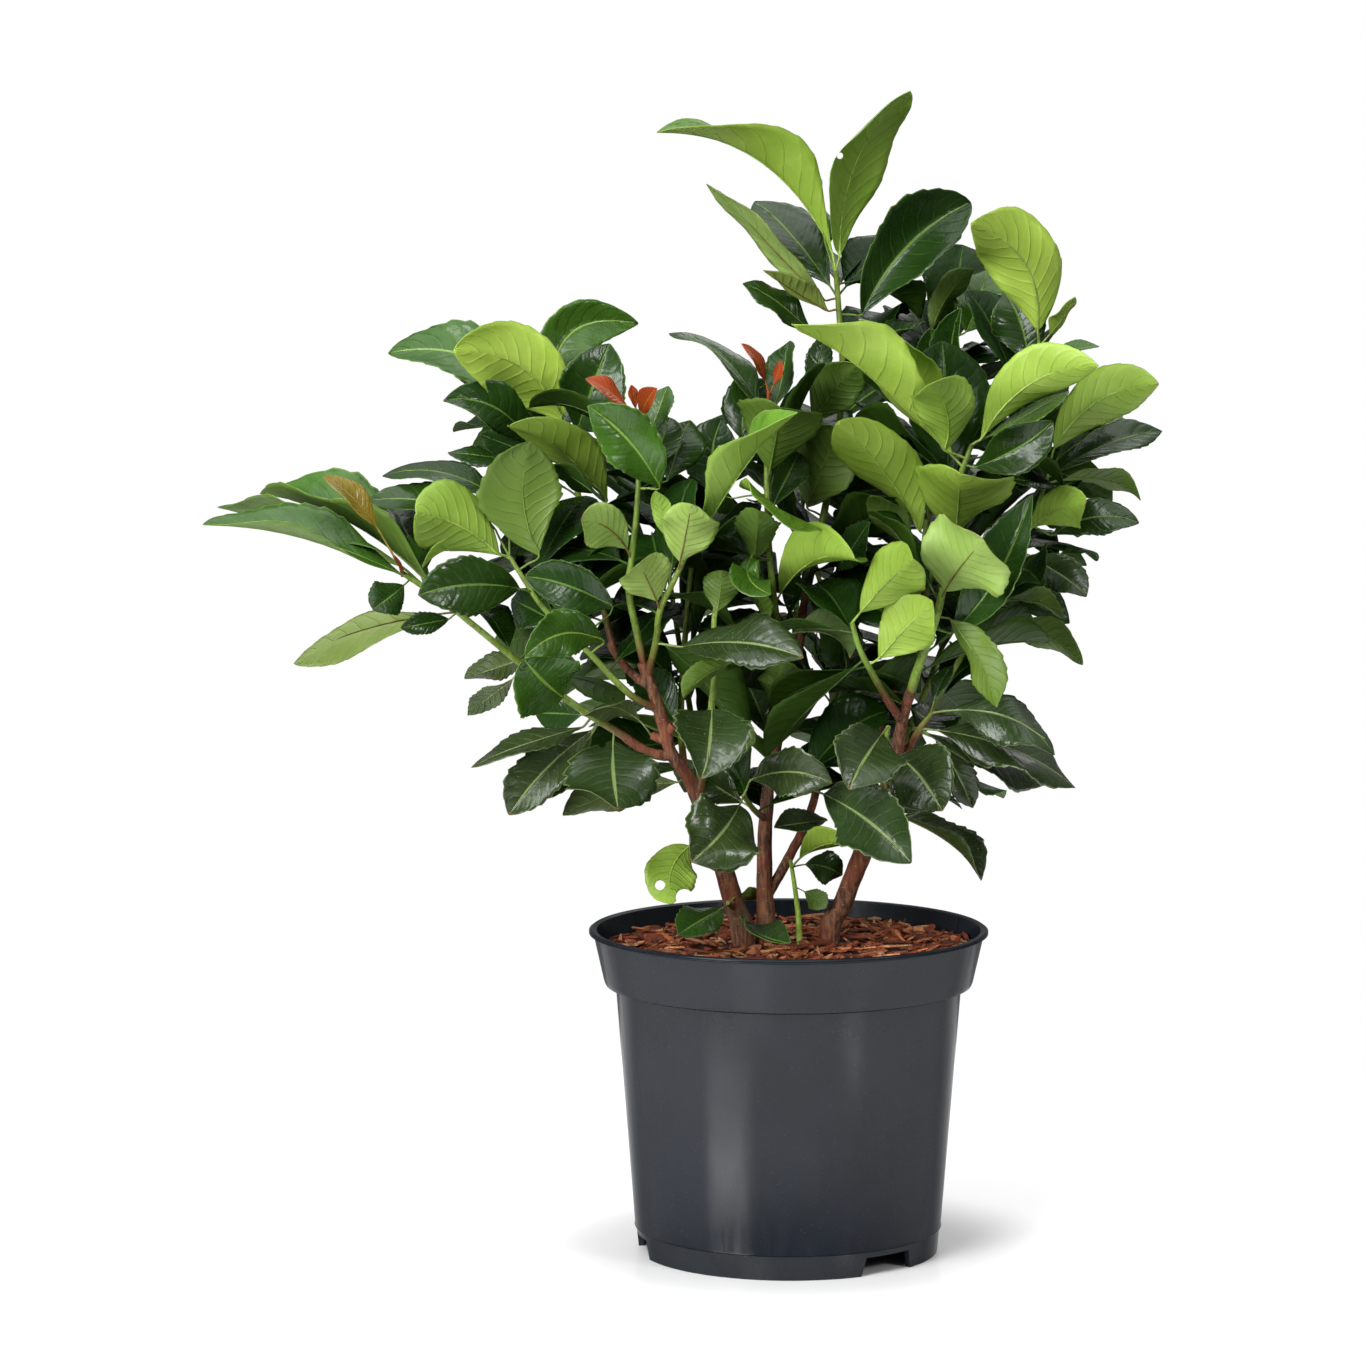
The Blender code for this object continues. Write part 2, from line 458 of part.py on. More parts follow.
SHOOTS = {
    "shoot_far_left": {
        "host": "trunk_left", "radii": (2.3, 1.5), "back": 5,
        "stem": [(-92, -24, 297), (-125, -34, 318), (-152, -42, 339), (-180, -48, 362),
                 (-200, -50, 378), (-222, -50, 393)],
        "leaves": [
            ((-214, 387), (-275, 412), (-335, 422), 16, 1, -75, "mid"),
            ((-205, 381), (-270, 423), (-326, 433), 24, 1, -25, "mid"),
            ((-198, 376), (-258, 425), (-302, 438), 20, 1, 20, "mid"),
            ((-190, 368), (-233, 363), (-286, 343), 20, -1, -95, "pale"),
            ((-195, 366), None, (-222, 361), 13, 1, -70, "dark"),
            ((-216, 388), None, (-238, 372), 22, 1, -85, "dark"),
            ((-206, 384), None, (-227, 433), 24, 1, 0, "dark"),
            ((-127, 315), None, (-152, 343), 47, 1, -75, "mid"),
            ((-118, 304), (-150, 294), (-183, 282), 15, 1, -60, "old"),
            ((-113, 302), (-138, 281), (-161, 253), 32, 1, -75, "old"),
            ((-113, 300), None, (-147, 261), 22, -1, -40, "old"),
            ((-100, 301), (-101, 280), (-98, 257), 52, 1, -85, "old"),
            ((-150, 344), None, (-186, 332), 18, -1, -20, "old"),
            ((-112, 311), None, (-146, 312), 20, 1, 0, "dark"),
            ((-158, 332), None, (-184, 312), 12, -1, -10, "old"),
            ((-140, 358), None, (-168, 352), 25, -1, 10, "dark"),
        ],
    },
    "shoot_left_low": {
        "host": "trunk_left", "radii": (2.2, 1.3), "back": 5,
        "stem": [(-75, -26, 315), (-86, -30, 319), (-97, -32, 328), (-112, -34, 344), (-128, -36, 360),
                 (-142, -38, 374), (-150, -36, 386), (-160, -32, 402)],
        "leaves": [
            ((-166, 403), (-192, 421), (-214, 427), 49, -1, -70, "lime"),
            ((-146, 382), (-180, 386), (-212, 380), 34, 1, -85, "dark"),
            ((-143, 402), (-152, 435), (-148, 469), 47, -1, -45, "olive"),
            ((-101, 373), (-126, 385), (-151, 391), 29, 1, -65, "dark"),
            ((-106, 353), (-128, 358), (-150, 345), 27, 1, -80, "mid"),
            ((-160, 398), (-188, 408), (-212, 396), 9, -1, -75, "lime"),
            ((-170, 420), (-205, 433), (-242, 434), 22, 1, -20, "dark"),
            ((-128, 362), None, (-160, 378), 26, 1, 10, "dark"),
            ((-160, 430), (-195, 449), (-233, 450), 16, 1, -5, "dark"),
        ],
    },
    "shoot_left_top": {
        "host": "trunk_left", "radii": (2.1, 1.4), "back": 5,
        "stem": [(-100, -3, 347), (-108, 10, 380), (-116, 18, 420), (-126, 20, 455), (-135, 18, 480)],
        "leaves": [
            ((-130, 479), (-150, 508), (-193, 519), 47, -1, -35, "bright"),
            ((-134, 486), (-124, 530), (-86, 535), 34, 1, 45, "mid"),
            ((-138, 484), (-190, 518), (-229, 519), 32, 1, 25, "mid"),
            ((-122, 473), (-112, 500), (-103, 524), 43, 1, 15, "dark"),
            ((-146, 463), (-172, 489), (-197, 492), 28, 1, -20, "dark"),
            ((-138, 488), None, (-152, 529), 9, 1, 60, "dark"),
            ((-140, 458), None, (-177, 472), 18, 1, 0, "dark"),
            ((-104, 434), (-122, 455), (-160, 481), 29, -1, -60, "lime"),
            ((-150, 456), None, (-195, 462), 9, 1, 20, "dark"),
        ],
    },
    "shoot_left_red": {
        "host": "trunk_left", "radii": (2.2, 1.4), "back": 5,
        "stem": [(-83, -28, 339), (-88, -35, 362), (-92, -42, 385), (-90, -44, 402), (-87, -44, 430),
                 (-86, -42, 452), (-86, -40, 472)],
        "leaves": [
            ((-74, 441), (-90, 466), (-115, 488), 34, 1, -70, "mid"),
            ((-90, 399), (-102, 417), (-121, 424), 27, -1, -85, "pale"),
            ((-83, 462), None, (-70, 500), 16, 1, -30, "mid"),
            ((-78, 452), None, (-68, 483), 25, 1, -20, "dark"),
            ((-70, 445), None, (-57, 482), 29, 1, -22, "dark"),
        ],
    },
    "shoot_left_front": {
        "host": "trunk_left", "radii": (2.2, 1.4), "back": 4,
        "stem": [(-81, -27, 333), (-76, -42, 355), (-74, -52, 371), (-66, -56, 388), (-58, -54, 405)],
        "leaves": [
            ((-63, 391), (-60, 411), (-56, 432), 34, -1, -85, "pale"),
            ((-75, 372), (-80, 386), (-87, 399), 31, -1, -90, "pale"),
            ((-54, 408), (-28, 450), (2, 487), 11, -1, -100, "lime"),
            ((-68, 410), None, (-76, 440), 12, -1, -62, "lime"),
            ((-61, 350), (-25, 352), (8, 344), 27, 1, -95, "old"),
        ],
    },
    "shoot_centre": {
        "host": "trunk_centre", "radii": (2.2, 1.4), "back": 7,
        "stem": [(1, 5, 326), (-6, -8, 360), (-11, -14, 400), (-13, -12, 450), (-12, -8, 490)],
        "leaves": [
            ((-12, 446), (-8, 468), (-4, 490), 52, -1, -55, "olive"),
            ((-7, 377), (8, 396), (40, 403), 29, -1, -90, "lime"),
            ((-14, 476), (-37, 514), (-68, 533), 15, 1, 30, "dark"),
            ((-11, 478), (-5, 500), (-2, 526), 19, 1, 20, "dark"),
            ((-36, 436), (-44, 458), (-38, 481), 34, 1, -15, "dark"),
            ((-26, 468), (-25, 488), (-10, 503), 27, 1, 5, "dark"),
            ((-20, 400), None, (-17, 429), 27, -1, -75, "olive"),
            ((-20, 404), (-24, 392), (-11, 381), 18, 1, -85, "mid"),
            ((-1, 356), (15, 359), (37, 344), 12, -1, -60, "old"),
            ((-12, 362), None, (-24, 395), 11, -1, -60, "olive"),
            ((-13, 425), None, (6, 462), 26, 1, 30, "dark"),
        ],
    },
    "shoot_top": {
        "host": "trunk_centre", "radii": (2.4, 1.5), "back": 6,
        "stem": [(7, 11, 368), (14, 22, 400), (24, 34, 450), (30, 38, 500), (28, 36, 540), (26, 34, 565)],
        "leaves": [
            ((28, 572), (36, 623), (66, 669), 29, -1, -5, "lime"),
            ((24, 575), (-7, 619), (-75, 647), 20, -1, -10, "lime"),
            ((41, 540), (67, 579), (103, 604), 50, 1, 55, "dark"),
            ((20, 548), (-14, 582), (-44, 617), 15, -1, 20, "pale"),
            ((24, 550), (5, 580), (-20, 606), 38, 1, 70, "dark"),
            ((25, 562), (18, 590), (13, 622), 10, 1, 50, "mid"),
            ((12, 530), (-6, 546), (-26, 559), 16, 1, 20, "dark"),
            ((22, 542), (3, 553), (-15, 565), 13, -1, 5, "pale"),
            ((13, 479), (26, 498), (40, 513), 29, -1, 10, "olive"),
            ((12, 494), None, (20, 530), 16, 1, 50, "dark"),
            ((10, 430), (20, 455), (28, 478), 43, -1, -30, "olive"),
            ((20, 436), None, (60, 442), 36, 1, 70, "dark"),
            ((11, 413), (-2, 425), (-18, 440), 13, -1, -70, "lime"),
            ((26, 392), None, (46, 422), 18, 1, -30, "dark"),
            ((40, 516), None, (77, 537), 8, 1, 60, "dark"),
        ],
    },
    "shoot_right_main": {
        "host": "trunk_right", "radii": (2.2, 1.4), "back": 6,
        "stem": [(76, 24, 367), (78, 18, 380), (86, 0, 405), (93, -15, 432), (99, -25, 453), (104, -28, 466)],
        "leaves": [
            ((95, 454), (55, 497), (3, 539), 27, -1, -95, "bright"),
            ((95, 414), None, (98, 450), 60, -1, -105, "lime"),
            ((88, 463), (66, 508), (40, 539), 31, -1, -55, "lime"),
            ((109, 469), (136, 500), (177, 513), 31, -1, -60, "bright"),
            ((105, 453), (128, 463), (150, 479), 31, 1, -45, "dark"),
            ((75, 416), (56, 448), (27, 479), 36, -1, -75, "lime"),
            ((89, 463), (90, 483), (80, 503), 38, -1, -70, "lime"),
            ((70, 408), None, (46, 438), 19, -1, -40, "olive"),
            ((108, 466), None, (158, 497), 13, 1, -30, "olive"),
        ],
    },
    "shoot_right_back": {
        "host": "trunk_right", "radii": (2.0, 1.3), "back": 5,
        "stem": [(72, 43, 368), (76, 50, 400), (82, 62, 450), (90, 66, 500), (92, 66, 526)],
        "leaves": [
            ((80, 528), (88, 548), (104, 566), 15, -1, 60, "olive"),
            ((100, 530), (108, 550), (112, 567), 29, 1, 75, "mid"),
            ((94, 496), (92, 520), (96, 543), 25, 1, 20, "dark"),
            ((84, 500), None, (80, 532), 20, 1, 35, "dark"),
            ((74, 385), None, (100, 362), 24, 1, 60, "dark"),
        ],
    },
    "shoot_right_top": {
        "host": "trunk_right", "radii": (2.1, 1.4), "back": 5,
        "stem": [(79, 42, 368), (88, 48, 390), (108, 55, 440), (128, 52, 485), (142, 45, 522)],
        "leaves": [
            ((141, 531), (134, 568), (102, 593), 46, -1, -5, "bright"),
            ((135, 503), (133, 530), (122, 553), 34, 1, 60, "dark"),
            ((145, 522), None, (162, 550), 9, -1, 30, "lime"),
            ((146, 516), None, (176, 523), 8, 1, 50, "mid"),
        ],
    },
    "shoot_right": {
        "host": "trunk_right", "radii": (2.0, 1.3), "back": 5,
        "stem": [(75, -14, 300), (84, -8, 318), (95, 0, 338), (110, 10, 365), (125, 15, 395),
                 (138, 18, 420), (147, 18, 447)],
        "leaves": [
            ((151, 464), (176, 491), (212, 501), 36, -1, -20, "lime"),
            ((134, 416), (152, 428), (171, 431), 27, -1, -35, "lime"),
            ((150, 414), (178, 425), (200, 422), 21, 1, -5, "dark"),
            ((149, 443), (178, 446), (202, 436), 13, -1, 20, "olive"),
            ((147, 450), (168, 474), (190, 483), 8, 1, 10, "dark"),
            ((152, 450), (186, 468), (213, 475), 18, 1, 45, "dark"),
            ((152, 442), None, (126, 447), 10, 1, -10, "dark"),
            ((112, 356), (140, 358), (170, 341), 17, -1, 0, "olive"),
            ((114, 374), (136, 377), (157, 367), 9, -1, 20, "olive"),
            ((132, 402), (150, 395), (170, 379), 23, 1, -15, "old"),
        ],
    },
    "shoot_right_front": {
        "host": "trunk_right", "radii": (2.9, 2.1), "back": 3,
        "stem": [(69, -33, 321), (73, -42, 335), (79, -52, 352), (85, -58, 370), (88, -60, 384)],
        "leaves": [
            ((87, 376), (98, 396), (112, 412), 56, -1, -110, "pale"),
            ((93, 358), (120, 392), (136, 438), 36, 1, -70, "dark"),
            ((92, 366), (106, 347), (120, 315), 21, -1, -95, "olive"),
        ],
    },
    "shoot_right_front_low": {
        "host": "trunk_right", "radii": (2.1, 1.4), "back": 5,
        "stem": [(58, -37, 317), (47, -56, 336), (40, -64, 350), (36, -66, 364)],
        "leaves": [
            ((38, 367), (54, 385), (73, 402), 38, -1, -110, "lime"),
            ((51, 343), (66, 360), (83, 377), 34, -1, -90, "lime"),
        ],
    },
    "shoot_inner": {
        "host": "trunk_left", "radii": (2.4, 1.4), "back": 7,
        "stem": [(-52, -18, 262), (-47, -38, 290), (-44, -50, 320), (-42, -50, 345), (-43, -44, 365),
                 (-40, -40, 382)],
        "leaves": [
            ((-42, 321), (-45, 300), (-48, 277), 49, 1, -95, "old"),
            ((-32, 342), (-44, 336), (-62, 321), 15, -1, -80, "olive"),
            ((-34, 290), None, (-21, 306), 17, -1, -60, "olive"),
            ((-42, 362), None, (-38, 395), 22, -1, -65, "olive"),
        ],
    },
    "shoot_back_left": {
        "host": "trunk_left", "radii": (2.2, 1.3), "back": 7,
        "stem": [(-60, -20, 279), (-62, 8, 306), (-60, 32, 350), (-56, 42, 395), (-52, 46, 430)],
        "leaves": [((-60, 300), None, (-84, 338), 26, 1, 30, "dark")],
    },
    "spur_right_low": {
        "host": "trunk_right", "radii": (2.0, 1.3), "back": 3,
        "stem": [(69, -14, 292), (75, -26, 303), (82, -30, 312)],
        "leaves": [
            ((83, 313), (120, 311), (155, 290), 28, 1, -60, "old"),
            ((78, 301), (125, 292), (165, 269), 25, 1, -30, "old"),
            ((80, 300), (120, 286), (149, 272), 13, 1, -5, "old"),
            ((79, 313), None, (93, 340), 11, 1, -20, "dark"),
            ((84, 297), (96, 278), (106, 256), 20, 1, -15, "old"),
        ],
    },
    "spur_centre_low": {
        "host": "trunk_centre", "radii": (2.0, 1.4), "back": 2,
        "stem": [(-13, -2, 250), (-20, -20, 256), (-26, -34, 264)],
        "leaves": [
            ((-22, 273), (0, 278), (23, 272), 31, 1, -80, "old"),
            ((-25, 266), (-36, 246), (-55, 227), 47, 1, -85, "old"),
            ((-20, 256), None, (-52, 276), 24, 1, 0, "old"),
        ],
    },
    "spur_centre_right": {
        "host": "trunk_centre", "radii": (2.0, 1.4), "back": 3,
        "stem": [(-11, -1, 278), (0, -28, 272), (13, -44, 268)],
        "leaves": [
            ((14, 268), (45, 250), (69, 226), 47, 1, -100, "old"),
        ],
    },
    "spur_right": {
        "host": "trunk_right", "radii": (2.0, 1.4), "back": 3,
        "stem": [(55, -10, 263), (54, -34, 284), (57, -48, 304)],
        "leaves": [
            ((57, 307), (47, 291), (36, 272), 43, 1, -100, "old"),
            ((56, 291), (74, 277), (86, 256), 43, 1, -75, "old"),
        ],
    },
    "spur_back": {
        "host": "trunk_centre", "radii": (2.0, 1.4), "back": 8,
        "stem": [(19, 29, 296), (24, 34, 314), (26, 42, 336), (24, 50, 362), (14, 56, 400)],
        "leaves": [
            ((26, 310), (32, 345), (18, 371), 27, 1, 10, "dark"),
            ((28, 302), None, (5, 303), 10, 1, -4, "dark"),
        ],
    },
    "basal_sprout": {
        "host": "soil", "radii": (1.7, 1.1), "back": 0,
        "stem": [(6, -8, 185), (5, -8, 200), (3, -8, 215), (1, -8, 227)],
        "leaves": [
            ((2, 222), (18, 235), (38, 236), 15, -1, -50, "lime"),
            ((1, 222), (16, 224), (31, 218), 19, 1, 10, "dark"),
            ((6, 212), None, (22, 199), 13, -1, -5, "dark"),
        ],
    },
    "foot_leaves": {
        "host": "trunk_left", "radii": (1.8, 1.3), "back": 0,
        "stem": [(-30, -10, 197), (-33, -18, 200), (-35, -24, 202)],
        "leaves": [
            ((-35, 200), (-48, 193), (-63, 184), 20, 1, -70, "dark"),
            ((-30, 196), (-18, 184), (0, 180), 10, 1, -62, "dark"),
            ((-30, 206), None, (-15, 206), 9, -1, 8, "mid"),
        ],
    },
    "leaf_low_left": {
        "host": "trunk_left", "back": 0,
        "leaves": [((-57, 235), (-67, 222), (-67, 201), 30, -1, -60, "lime")],
    },
    "leaf_mid_left": {
        "host": "trunk_left", "back": 0,
        "leaves": [((-64, 272), (-97, 267), (-130, 253), 28, -1, -30, "old")],
    },
    "leaf_upper_left": {
        "host": "trunk_left", "back": 0,
        "leaves": [((-79, 302), (-98, 315), (-118, 311), 13, -1, -50, "old")],
    },
    "leaf_centre_upright": {
        "host": "trunk_centre", "back": 0,
        "leaves": [((-3, 308), None, (-4, 344), 29, -1, -55, "olive")],
    },
    "leaf_centre_back": {
        "host": "trunk_centre", "back": 0,
        "leaves": [((-10, 290), (-19, 318), (-30, 340), 22, 1, 24, "dark")],
    },
    "leaf_centre_low": {
        "host": "trunk_centre", "back": 0,
        "leaves": [((22, 250), None, (-8, 246), 16, 1, -30, "old")],
    },
    "leaf_right_low": {
        "host": "trunk_right", "back": 0,
        "leaves": [((64, 252), (96, 234), (113, 216), 12, 1, -20, "old")],
    },
    "young_far_left": {
        "host": "shoot_far_left", "radii": (1.3, 0.9), "back": 0,
        "stem": [(-221, -50, 391), (-223, -57, 398), (-226, -62, 402)],
        "leaves": [((-236, 419), (-250, 436), (-266, 448), 12, 1, -78, "orange")],
    },
    "young_left": {
        "host": "shoot_left_red", "radii": (1.3, 0.9), "back": 0,
        "stem": [(-86, -40, 470), (-86, -42, 478), (-87, -44, 483)],
        "leaves": [
            ((-88, 480), (-100, 494), (-116, 504), 9, 1, -60, "red"),
            ((-86, 475), (-83, 487), (-76, 498), 10, 1, -62, "red"),
            ((-87, 482), None, (-90, 500), 5, 1, -45, "red"),
        ],
    },
    "young_centre": {
        "host": "shoot_centre", "radii": (1.3, 0.9), "back": 0,
        "stem": [(-12, -8, 488), (-12, -9, 494), (-12, -10, 498)],
        "leaves": [
            ((-12, 494), (-16, 508), (-27, 524), 7, 1, -18, "red"),
            ((-10, 494), None, (-5, 514), 6, 1, -14, "red"),
        ],
    },
    "shoot_rear_left": {
        "host": "trunk_left", "radii": (2.2, 1.3), "back": 8, "rear": True,
        "stem": [(-50, -17, 257), (-52, 14, 284), (-58, 52, 322), (-66, 86, 372), (-74, 104, 432)],
        "leaves": [],
    },
    "shoot_rear_centre": {
        "host": "trunk_centre", "radii": (2.2, 1.3), "back": 8, "rear": True,
        "stem": [(-12, -1, 264), (-5, 30, 298), (2, 68, 346), (6, 96, 408), (10, 108, 474)],
        "leaves": [],
    },
    "shoot_rear_right": {
        "host": "trunk_right", "radii": (2.2, 1.3), "back": 8, "rear": True,
        "stem": [(46, -4, 240), (58, 26, 276), (78, 62, 324), (98, 90, 384), (108, 102, 448)],
        "leaves": [],
    },
}


def true_path(stem):
    return [read(*row[:3]) for row in stem]


def wood_stems(rows):
    """The stems of one trunk as (path, radii), with the first one running straight down into the soil."""
    stems = []
    for number, stem in enumerate(rows):
        path, radii = true_path(stem), [row[3] * MM for row in stem]
        if number == 0:
            foot = path[0].copy()
            path[0].z = STEM_FOOT
            path.insert(0, Vector((foot.x, foot.y, ROOT_BOTTOM)))
            radii.insert(0, radii[0])
        stems.append((path, radii))
    return stems


def shoot_stem(rows):
    """The stem of one shoot as (path, radii), or None for a leaf that sits on wood."""
    if "stem" not in rows:
        return None
    path = true_path(rows["stem"])
    first, last = rows["radii"]
    radii = [(first + (last - first) * n / (len(path) - 1)) * MM for n in range(len(path))]
    if rows["host"] == "soil":
        foot = path[0].copy()
        path[0].z = STEM_FOOT
        path.insert(0, Vector((foot.x, foot.y, SPROUT_BOTTOM)))
        radii.insert(0, radii[0])
    return path, radii


# Leaves

def bend(start, middle, end, share):
    """A curve from start to end that passes the middle point at this share of its way."""
    rest = 1 - share
    handle = (middle - start * rest * rest - end * share * share) / (2 * share * rest)
    return lambda t: start * (1 - t) ** 2 + handle * 2 * t * (1 - t) + end * t * t


def nearest_on(path, x, z):
    """The point of a path that looks nearest to x, z from the front, in mm with its depth."""
    best = None
    for start, end in zip(path, path[1:]):
        for step in range(9):
            spot = start + (end - start) * step / 8
            gap = math.hypot(spot[0] - x, spot[2] - z)
            if best is None or gap < best[0]:
                best = (gap, spot)
    return best


def half_width(u):
    """How wide a blade is at share u of its length, against its widest half."""
    return max(math.sin(math.pi * u ** 1.2), 0.0) ** 0.68


def leaf_rings(rib, stalk_end, width, up, stations, grow=0.0):
    """Rings of four points (right edge, top, left edge, bottom) from the stalk's root, then the tip."""
    shares = [0.0, stalk_end] + [stalk_end + (1 - stalk_end) * u for u in stations]
    rings = []
    for number, share in enumerate(shares):
        centre = rib(share)
        along = (rib(min(share + 0.01, 1.0)) - rib(share - 0.01)).normalized()
        top = up(centre, along)
        right = top.cross(along)
        u = 0.0 if number < 2 else stations[number - 2]
        half = STALK_WIDTH / 2
        if number > 1:
            tooth = 1 + (TOOTH if number % 2 else -TOOTH) * (u > 0.3)
            half = width / 2 * half_width(u) * tooth
        lift = FOLD * half * (number > 1)
        thick = RIB_THICKNESS + (TIP_THICKNESS - RIB_THICKNESS) * u
        rings += [
            centre + right * (half + grow) + top * lift,
            centre + top * (thick / 2 + grow),
            centre - right * (half + grow) + top * lift,
            centre - top * (thick / 2 + grow),
        ]
    rings.append(rib(1.0))
    return rings


def seen_leaf(leaf, path, shift, roll, scale):
    """A leaf of the table as leaf_rings takes it, its tip moved in depth and its blade rolled."""
    base, via, tip, seen_width, face, depth, _ = leaf
    gap, root = nearest_on(path, *base)
    base = Vector((base[0], root[1], base[1]))
    tip = Vector((tip[0], depth + shift, tip[1]))
    via = (base + tip) / 2 if via is None else Vector((via[0], 0, via[1]))
    flat = [Vector((p.x, p.z)) for p in (base, via, tip)]
    reach = (flat[1] - flat[0]).length, (flat[2] - flat[1]).length
    if gap * MM > 2 * STALK_WIDTH:
        base.y = root[1] + (tip.y - root[1]) * gap / (gap + sum(reach))
    else:
        base = root.copy()
    share = reach[0] / sum(reach)
    via.y = base.y + (tip.y - base.y) * share - face * ARCH * sum(reach)
    root, base, via, tip = (read(*p) for p in (root, base, via, tip))
    tip = base + (tip - base) * scale
    via = base + (via - base) * scale
    blade = bend(base, via, tip, share)
    length = (tip - base).length
    stalk = (base - root).length
    if stalk > 1e-6:
        stalk_end = stalk / (stalk + length)
        def rib(t):
            if t < stalk_end:
                return root + (base - root) * t / stalk_end
            return blade((t - stalk_end) / (1 - stalk_end))
    else:
        stalk_end = min(STALK_LENGTH / length, 0.25)
        rib = blade
    seen = seen_width * MM * scale
    width = max(seen, WIDTH_SHARE * length)
    turn = math.acos(min(seen / width, 1.0))

    def up(centre, along):
        front = (EYE - centre).normalized()
        front = (front - along * front.dot(along)).normalized()
        side = along.cross(front)
        if side.z < 0:
            side = -side
        normal = front * face * math.cos(turn) + side * math.sin(turn)
        other = along.cross(normal)
        return normal * math.cos(roll) + other * math.sin(roll)

    stations = SHORT_BLADE if length < SHORT_LEAF else LONG_BLADE if length > LONG_LEAF else BLADE
    return rib, stalk_end, width, up, stations


def back_leaf(root, out, length, roll, droop):
    """A leaf that fills the back: it leaves its root in a given direction and bends down a little."""
    tip = root + out * length
    via = (root + tip) / 2 + Vector((0, 0, droop * length))
    rib = bend(root, via, tip, 0.5)

    def up(_, along):
        side = along.cross(Vector((0, 0, 1))).normalized()
        normal = side.cross(along)
        return normal * math.cos(roll) + side * math.sin(roll)

    return rib, STALK_LENGTH / length, BACK_WIDTH_SHARE * length, up, SHORT_BLADE


def tree_of(points, faces):
    return BVHTree.FromPolygons([tuple(p) for p in points], faces, all_triangles=False)


class Placed:
    """What stands in the way of the next leaf: solids with the node that each one belongs to."""

    def __init__(self):
        self.solids = []

    def add(self, node, kind, points, faces):
        self.solids.append((node, kind, tree_of(points, faces)))

    def clear(self, node, host, shape):
        """Whether a leaf stays off everything that its own node doesn't carry."""
        rings = leaf_rings(*shape, grow=CLEARANCE)
        if any(in_the_pot(point) for point in rings):
            return False
        whole = tree_of(rings, leaf_faces(rings))
        blade = tree_of(rings[8:], leaf_faces(rings[8:]))
        for owner, kind, tree in self.solids:
            own = owner == node or (kind == "stem" and owner == host)
            if (blade if own else whole).overlap(tree):
                return False
        return True

    def gain(self, shape, spot):
        """How many points of a leaf show from a spot, or None where it leaves the crown's outline."""
        points = leaf_rings(*shape)[8:]
        if not all(in_crown(point) for point in points):
            return None
        return sum(not self.covers(point, spot) for number, point in enumerate(points) if number % 4 < 3)

    def covers(self, point, spot):
        sight = point - spot
        reach = sight.length - 2 * MM
        sight.normalize()
        return any(tree.ray_cast(spot, sight, reach)[0] is not None for _, _, tree in self.solids)


def in_crown(point):
    """Whether a point lies inside the crown's outline, seen from the front."""
    sight = point - EYE
    seen = EYE + sight * (-EYE.y / sight.y)
    x, z = seen.x / MM, seen.z / MM
    inside = False
    for (x1, z1), (x2, z2) in zip(CROWN, CROWN[1:] + CROWN[:1]):
        if (z1 > z) != (z2 > z) and x < x1 + (x2 - x1) * (z - z1) / (z2 - z1):
            inside = not inside
    return inside


def in_the_pot(point):
    """Whether a point is in the pot's wall or in the mulch."""
    around = math.hypot(point.x, point.y)
    if point.z > POT_HEIGHT + CLEARANCE:
        return False
    low = point.z < MULCH_TOP + MULCH_CLEARANCE
    return abs(around - RIM_RADIUS) < RIM_CLEARANCE or (around < RIM_RADIUS and low)


def tries():
    """Small moves that get a leaf clear of its neighbours: depth of the tip in mm, roll, scale."""
    for scale in (1.0, 0.9, 0.8):
        for roll in (0, 12, -12, 24, -24):
            for step in range(11):
                for sign in (1, -1) if step else (1,):
                    yield 4 * step * sign, math.radians(roll), scale


def place_leaves():
    """Every leaf's solid, by node: those of the table first, then those that fill the back."""
    placed = Placed()
    stems = {}
    for node, rows in WOOD.items():
        stems[node] = wood_stems(rows)
    for node, rows in SHOOTS.items():
        stems[node] = [shoot_stem(rows)] if "stem" in rows else []
    for node, parts in stems.items():
        for path, radii in parts:
            placed.add(node, "stem", *tube(path, radii, STEM_SIDES))
    leaves = {node: [] for node in SHOOTS}
    for node, rows in SHOOTS.items():
        path = [Vector(row[:3]) for row in rows["stem"]] if "stem" in rows else None
        for leaf in rows["leaves"]:
            ways = [path] if path else [[Vector(r[:3]) for r in way] for way in WOOD[rows["host"]]]
            way = min(ways, key=lambda w: nearest_on(w, *leaf[0])[0])
            for move in tries():
                shape = seen_leaf(leaf, way, *move)
                if placed.clear(node, rows["host"], shape):
                    add_leaf(placed, leaves, node, shape)
                    break
            else:
                print("no room for a leaf of", node, leaf[0])
    for number, (node, rows) in enumerate(SHOOTS.items()):
        draw = random.Random(BACK_SEED + number)
        spot, lean = (REAR_EYE, REAR_LEAN) if "rear" in rows else (EYE, BACK_LEAN)
        for leaf in range(rows["back"]):
            best, most = None, LEAST_GAIN - 1
            for _ in range(BACK_TRIES):
                shape = draw_back_leaf(stems[node][0][0], leaf, rows["back"], lean, draw)
                gain = placed.gain(shape, spot)
                if gain is not None and gain > most and placed.clear(node, None, shape):
                    best, most = shape, gain
            if best:
                add_leaf(placed, leaves, node, best)
    print(sum(map(len, leaves.values())), "leaves")
    return stems, leaves


